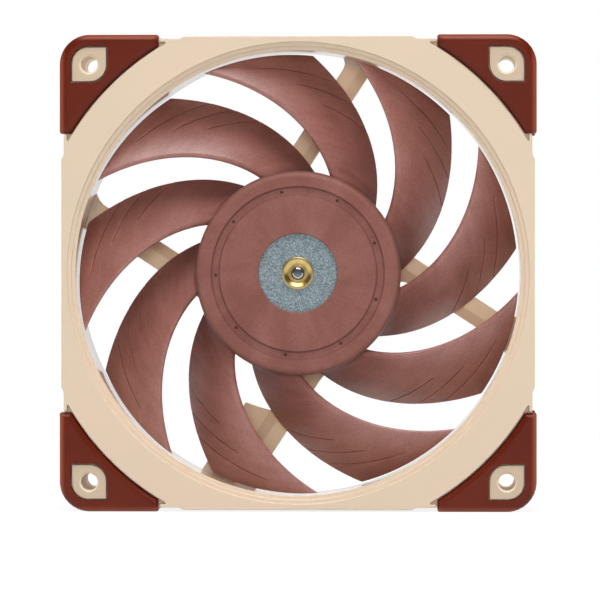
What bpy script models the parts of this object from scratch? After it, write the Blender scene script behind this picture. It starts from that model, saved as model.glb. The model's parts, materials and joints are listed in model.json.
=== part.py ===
"""Case fan of the 120 mm size: moulded frame, corner pads, nine-blade impeller and its motor.

The fan is modelled lying on its back with the intake up, and one empty stands it upright.
Heights run along the fan's axis from mid-depth, towards the intake. All lengths are metres.
"""

import math

import bmesh
import bpy
from mathutils import Matrix, Vector

# Envelope over the corner pads
OVERALL_WIDTH = 0.1200
OVERALL_DEPTH = 0.0250

# Clearances
FIT_GAP = 0.0003
RUNNING_GAP = 0.0001

# Frame: flanges, barrel and stepped inlet
SIDE_WALL = 0.0035
FLANGE_DEPTH = 0.0042
BARREL_INSET = 0.0013
INLET_STEP_RISE = 0.00105
INLET_STEP_DEPTH = 0.0008
INLET_LIP = 0.0008
OUTLET_FLARE = 0.0010
OUTLET_FLARE_DEPTH = 0.0025
OUTLET_LAND = 0.0005
EDGE_RELIEF = 0.0006
EDGE_DRAFT = 0.0001
RELIEF_LEAD = 0.0051
RELIEF_SLOPE = 0.0013

# Corner pads and the screw bosses that stand through them
PAD_PROUD_FACE = 0.0004
PAD_PROUD_SIDE = 0.0005
PAD_CORNER_RADIUS = 0.0075
PAD_ARC_OFFSET = 0.0109
PAD_END_WIDTH = 0.0030
PAD_PLATE = 0.0015
PAD_EDGE_ROUND = 0.0010
RIM_WALL = 0.0008
POCKET_DEPTH = 0.0022
POCKET_TIP = 0.0004
HOLE_INSET = 0.0075
HOLE_RADIUS = 0.0021
HOLE_CHAMFER = 0.00025
LEAF_HALF = 0.0043
LEAF_ROUND = 0.0041

# Struts behind the impeller, with the cable channel in one of them
STRUT_COUNT = 4
STRUT_ANGLE = 57.0
STRUT_OFFSET = 0.0160
STRUT_WIDTH = 0.0063
STRUT_DEPTH = 0.0043
STRUT_SETBACK = 0.0002
STRUT_SLOPE_WIDTH = 0.0027
STRUT_SLOPE_DROP = 0.0016
PLATE_WIDTH = 0.0064
PLATE_LENGTH = 0.0199
PLATE_DEPTH = 0.0020
PLATE_SETBACK = 0.0004
PLATE_LAP = 0.0012
PLATE_CORNER = 0.0010
CABLE_WIDTH = 0.0036
CABLE_DEPTH = 0.0025
CABLE_ENTRY = 0.0090

# Motor base
BASE_INSET = 0.00025
BASE_DEPTH = 0.0051
BASE_FLOOR = 0.0019
BASE_WALL = 0.0020
LEDGE_WIDTH = 0.0018
BOSS_WALL = 0.0012

# Impeller hub
HUB_RADIUS = 0.02575
HUB_RECESS = 0.0004
HUB_TOP = 0.0008
HUB_WALL = 0.0012
HUB_EDGE_ROUND = 0.0018
RING_WIDTH = 0.0039
CHANNEL_WIDTH = 0.00215
CHANNEL_DEPTH = 0.00035
EYE_RADIUS = 0.0099
ROTOR_CLEARANCE = 0.0006

# Impeller blades: angles of the two edges, counter-clockwise from +X at the intake side, in degrees
BLADE_COUNT = 9
TIP_GAP = 0.0005
LEAD_ANGLE_HUB = 31.3
LEAD_ANGLE_MID = 53.9
LEAD_ANGLE_TIP = 75.2
TRAIL_ANGLE_HUB = 2.0
TRAIL_ANGLE_MID = 26.0
TRAIL_ANGLE_TIP = 46.7
BLADE_FRONT_HUB = 0.0034
BLADE_FRONT_TIP = 0.0021
BLADE_STRUT_GAP = 0.0018
BLADE_THICK_HUB = 0.0024
BLADE_THICK_TIP = 0.0016
BLADE_TRAIL_THICK = 0.0005
BLADE_CAMBER = 0.065

# Aerofoil thickness along the chord: the factor of its square root, then of its powers
THICKNESS_ROOT = 1.4845
THICKNESS_POWERS = (-0.63, -1.758, 1.4215, -0.518)

# Rotor inside the hub
YOKE_WALL = 0.0010
YOKE_SETBACK = 0.0006
MAGNET_WALL = 0.0023
AIR_GAP = 0.0007
BUSH_FLANGE_RADIUS = 0.00405
BUSH_FLANGE = 0.0005
BUSH_NECK_RADIUS = 0.0029
BUSH_SHOULDER_RADIUS = 0.0046
BUSH_SHOULDER = 0.0020
BUSH_RIM = 0.00045
BUSH_CONE_DEPTH = 0.0009

# Shaft and bearing
SHAFT_RADIUS = 0.0015
SHAFT_CHAMFER = 0.0004
SHAFT_RECESS = 0.0004
GROOVE_DEPTH = 0.00035
CLIP_RADIUS = 0.0027
CLIP_DEPTH = 0.0005
CLIP_SETBACK = 0.0009
SLINGER_RADIUS = 0.0030
SLINGER_DEPTH = 0.0004
SLEEVE_WALL = 0.00175
TUBE_WALL = 0.0008
TUBE_FLOOR = 0.0008
THRUST_DEPTH = 0.0006

# Stator and its circuit board
SHOE_DEPTH = 0.0024
SHOE_HALF_ANGLE = 38.0
TOOTH_WIDTH = 0.0060
CORE_RING = 0.0033
INSULATOR_DEPTH = 0.0012
INSULATOR_MARGIN = 0.0006
WINDING_DEPTH = 0.0020
COIL_CLEARANCE = 0.0010
BOARD_RECESS = 0.0003
BOARD_DEPTH = 0.0010
BOARD_CLEARANCE = 0.0008
PIN_RADIUS = 0.0004
PIN_OFFSET = 0.0012
CHIP_SIZE = (0.0050, 0.0040, 0.0012)
SENSOR_SIZE = (0.0015, 0.0040, 0.0011)
CAPACITOR_SIZE = (0.0032, 0.0025, 0.0017)
COMPONENT_OFFSET = 0.0085

# Facet counts
INLET_STEPS = 2
DUCT_SIDES = 64
HUB_SIDES = 45
MOTOR_SIDES = 32
SHAFT_SIDES = 16
PIN_SIDES = 8
ARC_STEPS = 5
BLADE_SPANS = 7
BLADE_CHORDS = 6

# Mesh tolerances
WELD = 0.000001
FLAT_ANGLE = math.radians(0.02)
SHARP_ANGLE = math.radians(32)
OVERSHOOT = 0.0020

# Frame outline, worked out from the envelope
HALF_WIDTH = OVERALL_WIDTH / 2
HALF_DEPTH = OVERALL_DEPTH / 2
SIDE = HALF_WIDTH - PAD_PROUD_SIDE
RELIEVED_SIDE = SIDE - EDGE_RELIEF
FACE = HALF_DEPTH - PAD_PROUD_FACE
FLANGE_BACK = FACE - FLANGE_DEPTH
DUCT_RADIUS = SIDE - SIDE_WALL
INLET_RADIUS = DUCT_RADIUS + INLET_STEPS * INLET_STEP_RISE
OUTLET_RADIUS = DUCT_RADIUS + OUTLET_FLARE
BARREL_RADIUS = SIDE - BARREL_INSET
FLANGE_RING = INLET_RADIUS + INLET_LIP
PAD_ARC = DUCT_RADIUS + PAD_ARC_OFFSET
PAD_SKIRT = PAD_PROUD_SIDE + EDGE_RELIEF - FIT_GAP
PAD_END = math.sqrt(PAD_ARC**2 - (HALF_WIDTH - PAD_END_WIDTH) ** 2)
FLANGE_CORNER = PAD_CORNER_RADIUS - PAD_SKIRT - FIT_GAP
RIM_INNER = RELIEVED_SIDE - RIM_WALL
RIM_TOP = HALF_DEPTH - PAD_PLATE - FIT_GAP
POCKET_FLOOR = FACE - POCKET_DEPTH
HOLE_PLACE = HALF_WIDTH - HOLE_INSET

# Heights and radii of the motor, from the base at the back to the hub at the front
STRUT_REAR = -FACE + STRUT_SETBACK
STRUT_FRONT = STRUT_REAR + STRUT_DEPTH
BASE_RADIUS = HUB_RADIUS - BASE_INSET
BASE_INNER = BASE_RADIUS - BASE_WALL
LEDGE_INNER = BASE_INNER - LEDGE_WIDTH
BASE_TOP = -FACE + BASE_DEPTH
FLOOR_TOP = -FACE + BASE_FLOOR
BOARD_TOP = BASE_TOP - BOARD_RECESS
BOARD_UNDER = BOARD_TOP - BOARD_DEPTH
LEDGE_TOP = BOARD_UNDER - FIT_GAP
TIP_RADIUS = DUCT_RADIUS - TIP_GAP
HUB_FACE = FACE - HUB_RECESS
HUB_UNDER = HUB_FACE - HUB_TOP
HUB_REAR = BASE_TOP + ROTOR_CLEARANCE
YOKE_RADIUS = HUB_RADIUS - HUB_WALL - FIT_GAP
YOKE_INNER = YOKE_RADIUS - YOKE_WALL
YOKE_TOP = HUB_UNDER - FIT_GAP
YOKE_UNDER = YOKE_TOP - YOKE_WALL
YOKE_REAR = HUB_REAR + YOKE_SETBACK
MAGNET_RADIUS = YOKE_INNER - FIT_GAP
MAGNET_INNER = MAGNET_RADIUS - MAGNET_WALL
BUSH_FACE = YOKE_TOP + FIT_GAP + BUSH_FLANGE
BUSH_REAR = YOKE_UNDER - FIT_GAP - BUSH_SHOULDER
BORE_RADIUS = SHAFT_RADIUS + RUNNING_GAP
SLEEVE_RADIUS = BORE_RADIUS + SLEEVE_WALL
TUBE_BORE = SLEEVE_RADIUS + FIT_GAP
TUBE_RADIUS = TUBE_BORE + TUBE_WALL
SEAT_BORE = TUBE_RADIUS + FIT_GAP
BOSS_RADIUS = SEAT_BORE + BOSS_WALL
TUBE_REAR = FLOOR_TOP + FIT_GAP
TUBE_FRONT = BUSH_REAR - FIT_GAP
THRUST_REAR = TUBE_REAR + TUBE_FLOOR + FIT_GAP
SHAFT_REAR = THRUST_REAR + THRUST_DEPTH + FIT_GAP
SHAFT_FRONT = BUSH_FACE - SHAFT_RECESS
CLIP_REAR = SHAFT_REAR + CLIP_SETBACK
CLIP_FRONT = CLIP_REAR + CLIP_DEPTH
GROOVE_RADIUS = SHAFT_RADIUS - GROOVE_DEPTH
SLINGER_FRONT = BUSH_REAR - FIT_GAP
SLEEVE_FRONT = SLINGER_FRONT - SLINGER_DEPTH - FIT_GAP
SLEEVE_REAR = CLIP_FRONT + FIT_GAP
STATOR_RADIUS = MAGNET_INNER - AIR_GAP
SHOE_INNER = STATOR_RADIUS - SHOE_DEPTH
RING_RADIUS = SEAT_BORE + CORE_RING
COIL_REAR = BOARD_TOP + BOARD_CLEARANCE
COIL_FRONT = YOKE_UNDER - COIL_CLEARANCE
COIL_HEAD = WINDING_DEPTH + INSULATOR_DEPTH + 2 * FIT_GAP
CORE_REAR = COIL_REAR + COIL_HEAD
CORE_FRONT = COIL_FRONT - COIL_HEAD
INSULATOR_REAR = CORE_REAR - FIT_GAP - INSULATOR_DEPTH
BOSS_TOP = INSULATOR_REAR - FIT_GAP


def clear_scene():
    """Remove every object that the scene starts with."""
    for thing in list(bpy.data.objects):
        bpy.data.objects.remove(thing)


def new_collection(name):
    """Add a collection to the scene."""
    group = bpy.data.collections.new(name)
    bpy.context.scene.collection.children.link(group)
    return group


clear_scene()
PARTS = new_collection("case_fan")
CUTTERS = new_collection("cutters")


def finish(name, red, green, blue, roughness, metallic=0.0):
    """Principled material from a colour as it is seen on a screen, 0 to 255."""
    look = bpy.data.materials.new(name)
    look.use_nodes = True
    shader = look.node_tree.nodes["Principled BSDF"]
    linear = [(channel / 255) ** 2.2 for channel in (red, green, blue)]
    shader.inputs["Base Color"].default_value = (*linear, 1.0)
    shader.inputs["Roughness"].default_value = roughness
    shader.inputs["Metallic"].default_value = metallic
    return look


FRAME_PLASTIC = finish("frame_plastic", 226, 205, 178, 0.45)
PAD_RUBBER = finish("pad_rubber", 106, 44, 33, 0.60)
BLADE_PLASTIC = finish("blade_plastic", 140, 92, 84, 0.38)
GALVANISED = finish("galvanised_steel", 140, 158, 168, 0.40, 0.85)
BRASS = finish("turned_brass", 216, 184, 112, 0.25, 1.0)
BRIGHT_STEEL = finish("bright_steel", 190, 190, 188, 0.22, 1.0)
FERRITE = finish("bonded_ferrite", 52, 50, 50, 0.70)
LAMINATION = finish("lamination_steel", 120, 120, 122, 0.45, 0.9)
COPPER = finish("enamelled_copper", 176, 96, 52, 0.30, 0.9)
NYLON = finish("bobbin_nylon", 222, 220, 210, 0.50)
SINTERED = finish("sintered_bronze", 150, 112, 72, 0.55, 0.8)
BOARD_GREEN = finish("board_laminate", 44, 92, 60, 0.40)
CHIP_BLACK = finish("chip_resin", 34, 34, 36, 0.45)


def scratch(name, data):
    """Hidden helper object that a shape is worked out on."""
    thing = bpy.data.objects.new(name, data)
    thing.hide_render = True
    thing.display_type = "WIRE"
    CUTTERS.objects.link(thing)
    return thing


def tidied(mesh):
    """Weld a mesh, merge its flat faces and turn its faces outwards."""
    work = bmesh.new()
    work.from_mesh(mesh)
    bmesh.ops.remove_doubles(work, verts=work.verts, dist=WELD)
    bmesh.ops.dissolve_limit(work, angle_limit=FLAT_ANGLE, verts=work.verts, edges=work.edges)
    bmesh.ops.recalc_face_normals(work, faces=work.faces)
    work.to_mesh(mesh)
    work.free()
    return mesh


def baked(thing):
    """Mesh of a helper object with its modifiers applied; the helper is removed."""
    graph = bpy.context.evaluated_depsgraph_get()
    mesh = bpy.data.meshes.new_from_object(thing.evaluated_get(graph))
    bpy.data.objects.remove(thing)
    return tidied(mesh)


def prism(loops, low, high):
    """Flat outline, with any holes in it, raised between two heights."""
    curve = bpy.data.curves.new("outline", "CURVE")
    curve.dimensions = "2D"
    curve.fill_mode = "BOTH"
    curve.extrude = (high - low) / 2
    for loop in loops:
        spline = curve.splines.new("POLY")
        spline.points.add(len(loop) - 1)
        spline.use_cyclic_u = True
        for point, (across, up) in zip(spline.points, loop):
            point.co = (across, up, 0.0, 1.0)
    mesh = baked(scratch("outline", curve))
    mesh.transform(Matrix.Translation((0, 0, (low + high) / 2)))
    return mesh


def turned(profile, sides):
    """Profile of radius and height turned about the fan's axis; a closed loop where it clears the axis."""
    count = len(profile)
    ring = min(radius for radius, _ in profile) > 0
    edges = [(i, (i + 1) % count) for i in range(count if ring else count - 1)]
    mesh = bpy.data.meshes.new("profile")
    mesh.from_pydata([(radius, 0, height) for radius, height in profile], edges, [])
    thing = scratch("profile", mesh)
    screw = thing.modifiers.new("turn", "SCREW")
    screw.steps = sides
    screw.render_steps = sides
    screw.use_merge_vertices = True
    screw.merge_threshold = WELD
    return baked(thing)


def combined(body, tool, operation):
    """Boolean of two meshes: UNION, DIFFERENCE or INTERSECT."""
    target = scratch("target", body)
    other = scratch("tool", tool)
    cut = target.modifiers.new(operation.lower(), "BOOLEAN")
    cut.operation = operation
    cut.solver = "EXACT"
    cut.object = other
    mesh = baked(target)
    bpy.data.objects.remove(other)
    return mesh


def moved(mesh, matrix):
    """Copy of a mesh in another place, still facing outwards where it is mirrored."""
    copy = mesh.copy()
    copy.transform(matrix)
    if matrix.determinant() < 0:
        copy.flip_normals()
    return copy


def grouped(meshes):
    """Several bodies in one mesh, to cut or join in one step."""
    work = bmesh.new()
    for mesh in meshes:
        work.from_mesh(mesh)
    group = bpy.data.meshes.new("group")
    work.to_mesh(group)
    work.free()
    return group


def turn(share):
    """Rotation about the fan's axis by a share of a full turn."""
    return Matrix.Rotation(2 * math.pi * share, 4, "Z")


def patterned(mesh, count):
    """Copies of a mesh spread evenly round the fan's axis."""
    return grouped([moved(mesh, turn(i / count)) for i in range(count)])


def front_and_rear(mesh):
    """A mesh together with its mirror image at the other face of the fan."""
    return grouped([mesh, moved(mesh, Matrix.Diagonal((1, 1, -1, 1)))])


def arc(centre, radius, start, end, steps=ARC_STEPS):
    """Points of an arc between two angles in degrees, both ends included."""
    angles = [math.radians(start + (end - start) * i / steps) for i in range(steps + 1)]
    return [(centre[0] + radius * math.cos(a), centre[1] + radius * math.sin(a)) for a in angles]


def circle(radius, sides):
    """Points of a circle round the fan's axis."""
    return arc((0, 0), radius, 0, 360, sides)[:-1]


def place(name, mesh, look, parent, matrix=None):
    """Make a part of the fan from a mesh, shaded smooth between its sharp edges."""
    if not mesh.materials:
        mesh.materials.append(look)
        mesh.shade_smooth()
        mesh.set_sharp_from_angle(angle=SHARP_ANGLE)
    part = bpy.data.objects.new(name, mesh)
    PARTS.objects.link(part)
    part.parent = parent
    if matrix:
        part.matrix_local = matrix
    return part


def corner_region(outer, corner, inner_arc, end):
    """Outline in one corner between the two sides and an arc round the duct, with blunt ends."""
    run = math.sqrt(inner_arc**2 - (outer - end) ** 2)
    swing = math.degrees(math.atan2(outer - end, run))
    rounded = arc((outer - corner, outer - corner), corner, 0, 90)
    inner = arc((0, 0), inner_arc, swing, 90 - swing, 2 * ARC_STEPS)
    return [(outer, run), *rounded, (run, outer), *inner]


def leaf_outline(grow):
    """Screw boss: a square round the hole with its two corners on the diagonal rounded."""
    half = LEAF_HALF + grow
    bend = LEAF_ROUND + grow
    high = HOLE_PLACE + half
    low = HOLE_PLACE - half
    outer = arc((high - bend, high - bend), bend, 0, 90)
    inner = arc((low + bend, low + bend), bend, 180, 270)
    return [(high, low), *outer, (low, high), *inner]


def square_outline(half, corner, near):
    """Square from a near corner out to a rounded far corner, both on the diagonal."""
    rounded = arc((half - corner, half - corner), corner, 0, 90)
    return [(near, near), (half, near), *rounded, (near, half)]


def flange_outline():
    """Outer edge of a flange: full width at mid-side, stepped and drawn in towards the pads."""
    stepped = PAD_END - RELIEF_LEAD
    full = stepped - RELIEF_SLOPE
    centre = RELIEVED_SIDE - EDGE_DRAFT - FLANGE_CORNER
    quarter = [(SIDE, full), (RELIEVED_SIDE, stepped)]
    quarter += arc((centre, centre), FLANGE_CORNER, 0, 90)
    quarter += [(stepped, RELIEVED_SIDE), (full, SIDE)]
    points = []
    for _ in range(4):
        points += quarter
        quarter = [(-y, x) for x, y in quarter]
    return points


def barrel():
    """Duct between the flanges, with the lower steps of its inlet and a flared outlet."""
    profile = [(FLANGE_RING, FACE - INLET_STEP_DEPTH), (FLANGE_RING, FLANGE_BACK + FIT_GAP)]
    profile += [(BARREL_RADIUS, FLANGE_BACK - FIT_GAP), (BARREL_RADIUS, -FLANGE_BACK + FIT_GAP)]
    profile += [(FLANGE_RING, -FLANGE_BACK - FIT_GAP), (FLANGE_RING, -FACE + OUTLET_LAND)]
    profile += [(OUTLET_RADIUS - OUTLET_FLARE * OUTLET_LAND / OUTLET_FLARE_DEPTH, -FACE + OUTLET_LAND)]
    profile += [(DUCT_RADIUS, -FACE + OUTLET_FLARE_DEPTH)]
    for step in range(INLET_STEPS):
        height = FACE - (INLET_STEPS - step) * INLET_STEP_DEPTH
        profile += [(DUCT_RADIUS + step * INLET_STEP_RISE, height)]
        profile += [(DUCT_RADIUS + (step + 1) * INLET_STEP_RISE, height)]
    return turned(profile[:-1], DUCT_SIDES)


def flanges():
    """Square front and rear flanges with the mouth of the duct in them."""
    front = prism([flange_outline(), circle(INLET_RADIUS, DUCT_SIDES)], FLANGE_BACK, FACE)
    rear = prism([flange_outline(), circle(OUTLET_RADIUS, DUCT_SIDES)], -FACE, -FLANGE_BACK)
    return grouped([front, rear])


def motor_base():
    """Round cup behind the impeller that carries the bearing tube, the stator and the board."""
    profile = [(0, FLOOR_TOP), (SEAT_BORE, FLOOR_TOP), (SEAT_BORE, BOSS_TOP)]
    profile += [(BOSS_RADIUS, BOSS_TOP), (BOSS_RADIUS, FLOOR_TOP), (LEDGE_INNER, FLOOR_TOP)]
    profile += [(LEDGE_INNER, LEDGE_TOP), (BASE_INNER, LEDGE_TOP), (BASE_INNER, BASE_TOP)]
    profile += [(BASE_RADIUS, BASE_TOP), (BASE_RADIUS, -FACE), (0, -FACE)]
    return turned(profile, HUB_SIDES)


def strut_frame(index):
    """Axes of a strut: across it, along the fan's axis, and outwards along the strut."""
    angle = math.radians(STRUT_ANGLE) + 2 * math.pi * index / STRUT_COUNT
    along = Vector((math.cos(angle), math.sin(angle), 0))
    across = Vector((-math.sin(angle), math.cos(angle), 0))
    axes = Matrix((across, (0, 0, 1), along)).transposed()
    return axes.to_4x4()


def strut_bar(section, index, start):
    """Bar of a given section laid along a strut's line, from a distance along it."""
    bar = prism([section], start, HALF_WIDTH + OVERSHOOT)
    return moved(bar, strut_frame(index))


def strut_section():
    """Section across a strut: flat to the front, sloped off on the side nearer the axis."""
    near = STRUT_OFFSET - STRUT_WIDTH / 2
    far = STRUT_OFFSET + STRUT_WIDTH / 2
    section = [(near, STRUT_REAR), (far, STRUT_REAR), (far, STRUT_FRONT)]
    section += [(near + STRUT_SLOPE_WIDTH, STRUT_FRONT), (near, STRUT_FRONT - STRUT_SLOPE_DROP)]
    return section


def cable_plate():
    """Plate beside the cable strut, from an edge concentric with the duct out to its wall."""
    lap = STRUT_OFFSET - STRUT_WIDTH / 2 + PLATE_LAP
    side = lap - PLATE_LAP - PLATE_WIDTH
    inner = DUCT_RADIUS - PLATE_LENGTH
    turn_in = side + PLATE_CORNER
    edge = [lap + (turn_in - lap) * i / ARC_STEPS for i in range(ARC_STEPS + 1)]
    outline = [(lap, HALF_WIDTH - OVERSHOOT)]
    outline += [(across, math.sqrt(inner**2 - across**2)) for across in edge]
    corner = math.sqrt(inner**2 - turn_in**2) + PLATE_CORNER
    outline += arc((turn_in, corner), PLATE_CORNER, 120, 180, 2)
    outline += [(side, HALF_WIDTH - OVERSHOOT)]
    low = STRUT_REAR + PLATE_SETBACK
    plate = prism([outline], low, low + PLATE_DEPTH)
    upright = Matrix(((1, 0, 0, 0), (0, 0, 1, 0), (0, 1, 0, 0), (0, 0, 0, 1)))
    return moved(plate, strut_frame(STRUT_COUNT // 2) @ upright)


def struts():
    """The struts and the cable plate, trimmed between the motor base and the duct wall."""
    bars = grouped([strut_bar(strut_section(), i, 0) for i in range(STRUT_COUNT)])
    bars = combined(bars, cable_plate(), "UNION")
    inner = BASE_RADIUS - BASE_WALL / 2
    outer = BARREL_RADIUS - FIT_GAP
    trim = [(inner, 0), (outer, 0), (outer, -HALF_DEPTH), (inner, -HALF_DEPTH)]
    return combined(bars, turned(trim, DUCT_SIDES), "INTERSECT")


def cable_channel():
    """Channel in the back of the cable strut, from the board's chamber out through the flange."""
    near = STRUT_OFFSET - CABLE_WIDTH / 2
    far = STRUT_OFFSET + CABLE_WIDTH / 2
    low = -FACE - OVERSHOOT
    high = -FACE + CABLE_DEPTH
    section = [(near, low), (far, low), (far, high), (near, high)]
    start = math.sqrt(BASE_RADIUS**2 - STRUT_OFFSET**2) - CABLE_ENTRY
    return strut_bar(section, STRUT_COUNT // 2, start)


def pad_seats():
    """Rim under each pad, cut down so that the pad lies over it."""
    outer = HALF_WIDTH + OVERSHOOT
    end = PAD_END - FIT_GAP
    inner = arc((0, 0), PAD_ARC, 90 - math.degrees(math.asin(end / PAD_ARC)),
                math.degrees(math.asin(end / PAD_ARC)), 2 * ARC_STEPS)
    outline = [(outer, end), (outer, outer), (end, outer), *inner]
    seat = prism([outline, leaf_outline(FIT_GAP)], RIM_TOP, HALF_DEPTH)
    return front_and_rear(patterned(seat, 4))


def pad_pockets():
    """Pockets inside the rims that the pads sit in, with the screw bosses left standing."""
    outline = corner_region(RIM_INNER, FLANGE_CORNER - RIM_WALL, PAD_ARC - FIT_GAP, POCKET_TIP)
    pocket = prism([outline, leaf_outline(0)], POCKET_FLOOR, HALF_DEPTH + OVERSHOOT)
    return front_and_rear(patterned(pocket, 4))


def screw_holes():
    """Screw holes through both flanges, chamfered at the outer faces."""
    mouth = HOLE_RADIUS + HOLE_CHAMFER + OVERSHOOT
    profile = [(0, FACE + OVERSHOOT), (mouth, FACE + OVERSHOOT), (HOLE_RADIUS, FACE - HOLE_CHAMFER)]
    profile += [(radius, -height) for radius, height in reversed(profile)]
    hole = turned(profile, SHAFT_SIDES)
    hole.transform(Matrix.Translation((HOLE_PLACE, HOLE_PLACE, 0)))
    return patterned(hole, 4)


def frame():
    """One moulding: flanges, duct, struts and motor base, less its pockets, holes and channel."""
    body = combined(barrel(), flanges(), "UNION")
    body = combined(body, motor_base(), "UNION")
    body = combined(body, struts(), "UNION")
    for cutter in (pad_seats(), pad_pockets(), screw_holes(), cable_channel()):
        body = combined(body, cutter, "DIFFERENCE")
    return body


def rounded_top(mesh, height, radius):
    """Round the edges of a mesh's flat top."""
    work = bmesh.new()
    work.from_mesh(mesh)
    top = [edge for edge in work.edges if all(abs(v.co.z - height) < WELD for v in edge.verts)]
    rim = [edge for edge in top if edge.calc_face_angle() > SHARP_ANGLE]
    seams = [edge for edge in top if edge not in rim]
    bmesh.ops.dissolve_edges(work, edges=seams)
    bmesh.ops.bevel(work, geom=rim, offset=radius, segments=2, profile=0.5, affect="EDGES")
    work.to_mesh(mesh)
    work.free()
    return mesh


def corner_pad():
    """Soft pad: a plate over the corner, a skirt round its sides and a core in the pocket."""
    outline = corner_region(HALF_WIDTH, PAD_CORNER_RADIUS, PAD_ARC, PAD_END_WIDTH)
    pad = rounded_top(prism([outline], FLANGE_BACK, HALF_DEPTH), HALF_DEPTH, PAD_EDGE_ROUND)
    leaf = prism([leaf_outline(FIT_GAP)], FLANGE_BACK - OVERSHOOT, HALF_DEPTH + OVERSHOOT)
    pad = combined(pad, leaf, "DIFFERENCE")
    near = PAD_END / 2
    skirt_inner = square_outline(RELIEVED_SIDE + FIT_GAP, FLANGE_CORNER + FIT_GAP, near)
    core_bottom = POCKET_FLOOR + FIT_GAP
    pad = combined(pad, prism([skirt_inner], FLANGE_BACK - OVERSHOOT, core_bottom), "DIFFERENCE")
    core_corner = FLANGE_CORNER - RIM_WALL - FIT_GAP
    core_side = square_outline(RIM_INNER - FIT_GAP, core_corner, near + OVERSHOOT)
    groove = prism([skirt_inner, core_side], core_bottom - OVERSHOOT, HALF_DEPTH - PAD_PLATE)
    return combined(pad, groove, "DIFFERENCE")


def place_pads(parent):
    """Four pads at the front corners and the same four turned over at the rear corners."""
    names = ("top_right", "top_left", "bottom_left", "bottom_right")
    pad = corner_pad()
    over = Matrix.Rotation(math.pi, 4, Vector((1, 1, 0)))
    for i, name in enumerate(names):
        place(f"pad_front_{name}", pad, PAD_RUBBER, parent, turn(i / 4))
        place(f"pad_rear_{name}", pad, PAD_RUBBER, parent, turn(i / 4) @ over)


def hub():
    """Cup of the impeller: rounded rim, shallow ring channel and the eye over the steel yoke."""
    channel_outer = HUB_RADIUS - RING_WIDTH
    channel_inner = channel_outer - CHANNEL_WIDTH
    floor = HUB_FACE - CHANNEL_DEPTH
    centre = (HUB_RADIUS - HUB_EDGE_ROUND, HUB_FACE - HUB_EDGE_ROUND)
    profile = [(EYE_RADIUS, HUB_FACE), (channel_inner, HUB_FACE), (channel_inner, floor)]
    profile += [(channel_outer, floor), (channel_outer, HUB_FACE)]
    profile += arc(centre, HUB_EDGE_ROUND, 90, 0, 3)
    inner = HUB_RADIUS - HUB_WALL
    profile += [(HUB_RADIUS, HUB_REAR), (inner, HUB_REAR), (inner, HUB_UNDER), (EYE_RADIUS, HUB_UNDER)]
    return turned(profile, HUB_SIDES)


def through_three(share, hub_value, mid_value, tip_value):
    """Smooth value along a blade that meets its hub, mid-span and tip values."""
    at_hub = hub_value * (1 - share) * (1 - 2 * share)
    at_mid = mid_value * 4 * share * (1 - share)
    at_tip = tip_value * share * (2 * share - 1)
    return at_hub + at_mid + at_tip


def blade_section(radius):
    """Closed aerofoil section on a cylinder, from the leading edge round to it again."""
    share = (radius - HUB_RADIUS) / (TIP_RADIUS - HUB_RADIUS)
    lead_angle = through_three(share, LEAD_ANGLE_HUB, LEAD_ANGLE_MID, LEAD_ANGLE_TIP)
    trail_angle = through_three(share, TRAIL_ANGLE_HUB, TRAIL_ANGLE_MID, TRAIL_ANGLE_TIP)
    setback = BLADE_FRONT_HUB + (BLADE_FRONT_TIP - BLADE_FRONT_HUB) * share
    lead = Vector((radius * math.radians(lead_angle), FACE - setback))
    trail = Vector((radius * math.radians(trail_angle), STRUT_FRONT + BLADE_STRUT_GAP))
    chord = trail - lead
    normal = Vector((chord.y, -chord.x)).normalized()
    thick = BLADE_THICK_HUB + (BLADE_THICK_TIP - BLADE_THICK_HUB) * share
    stations = [(1 - math.cos(math.pi * i / BLADE_CHORDS)) / 2 for i in range(1, BLADE_CHORDS + 1)]
    suction = []
    pressure = []
    for t in stations:
        middle = lead + chord * t + normal * (BLADE_CAMBER * chord.length * 4 * t * (1 - t))
        form = THICKNESS_ROOT * math.sqrt(t)
        form += sum(factor * t ** (i + 1) for i, factor in enumerate(THICKNESS_POWERS))
        half = thick * form + BLADE_TRAIL_THICK * t / 2
        suction.append(middle + normal * half)
        pressure.append(middle - normal * half)
    flat = [lead, *suction, *reversed(pressure)]
    return [
        (radius * math.cos(p.x / radius), radius * math.sin(p.x / radius), p.y) for p in flat
    ]


def blade():
    """One swept and twisted blade, lofted from its root inside the hub wall out to its tip."""
    root = HUB_RADIUS - HUB_WALL / 2
    rings = [
        blade_section(root + (TIP_RADIUS - root) * i / BLADE_SPANS) for i in range(BLADE_SPANS + 1)
    ]
    count = len(rings[0])
    faces = []
    for i in range(BLADE_SPANS):
        for j in range(count):
            a = i * count + j
            b = i * count + (j + 1) % count
            faces.append((a, b, b + count, a + count))
    for start in (0, BLADE_SPANS * count):
        faces.append((start, start + 1, start + count - 1))
        for j in range(1, BLADE_CHORDS):
            faces.append((start + j, start + j + 1, start + count - j - 1, start + count - j))
    mesh = bpy.data.meshes.new("blade")
    mesh.from_pydata([point for ring in rings for point in ring], [], faces)
    return tidied(mesh)


def impeller():
    """Hub and blades as the one moulding that turns."""
    return combined(hub(), patterned(blade(), BLADE_COUNT), "UNION")


def ring(inner, outer, low, high, sides=MOTOR_SIDES):
    """Plain ring of square section."""
    return turned([(inner, high), (outer, high), (outer, low), (inner, low)], sides)


def rotor_yoke():
    """Steel cup inside the hub, with the hole that its bush is swaged into."""
    hole = BUSH_NECK_RADIUS + FIT_GAP
    bend = YOKE_WALL / 2
    profile = [(hole, YOKE_TOP), (YOKE_RADIUS - bend, YOKE_TOP), (YOKE_RADIUS, YOKE_TOP - bend)]
    profile += [(YOKE_RADIUS, YOKE_REAR), (YOKE_INNER, YOKE_REAR), (YOKE_INNER, YOKE_UNDER)]
    profile += [(hole, YOKE_UNDER)]
    return turned(profile, HUB_SIDES)


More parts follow.
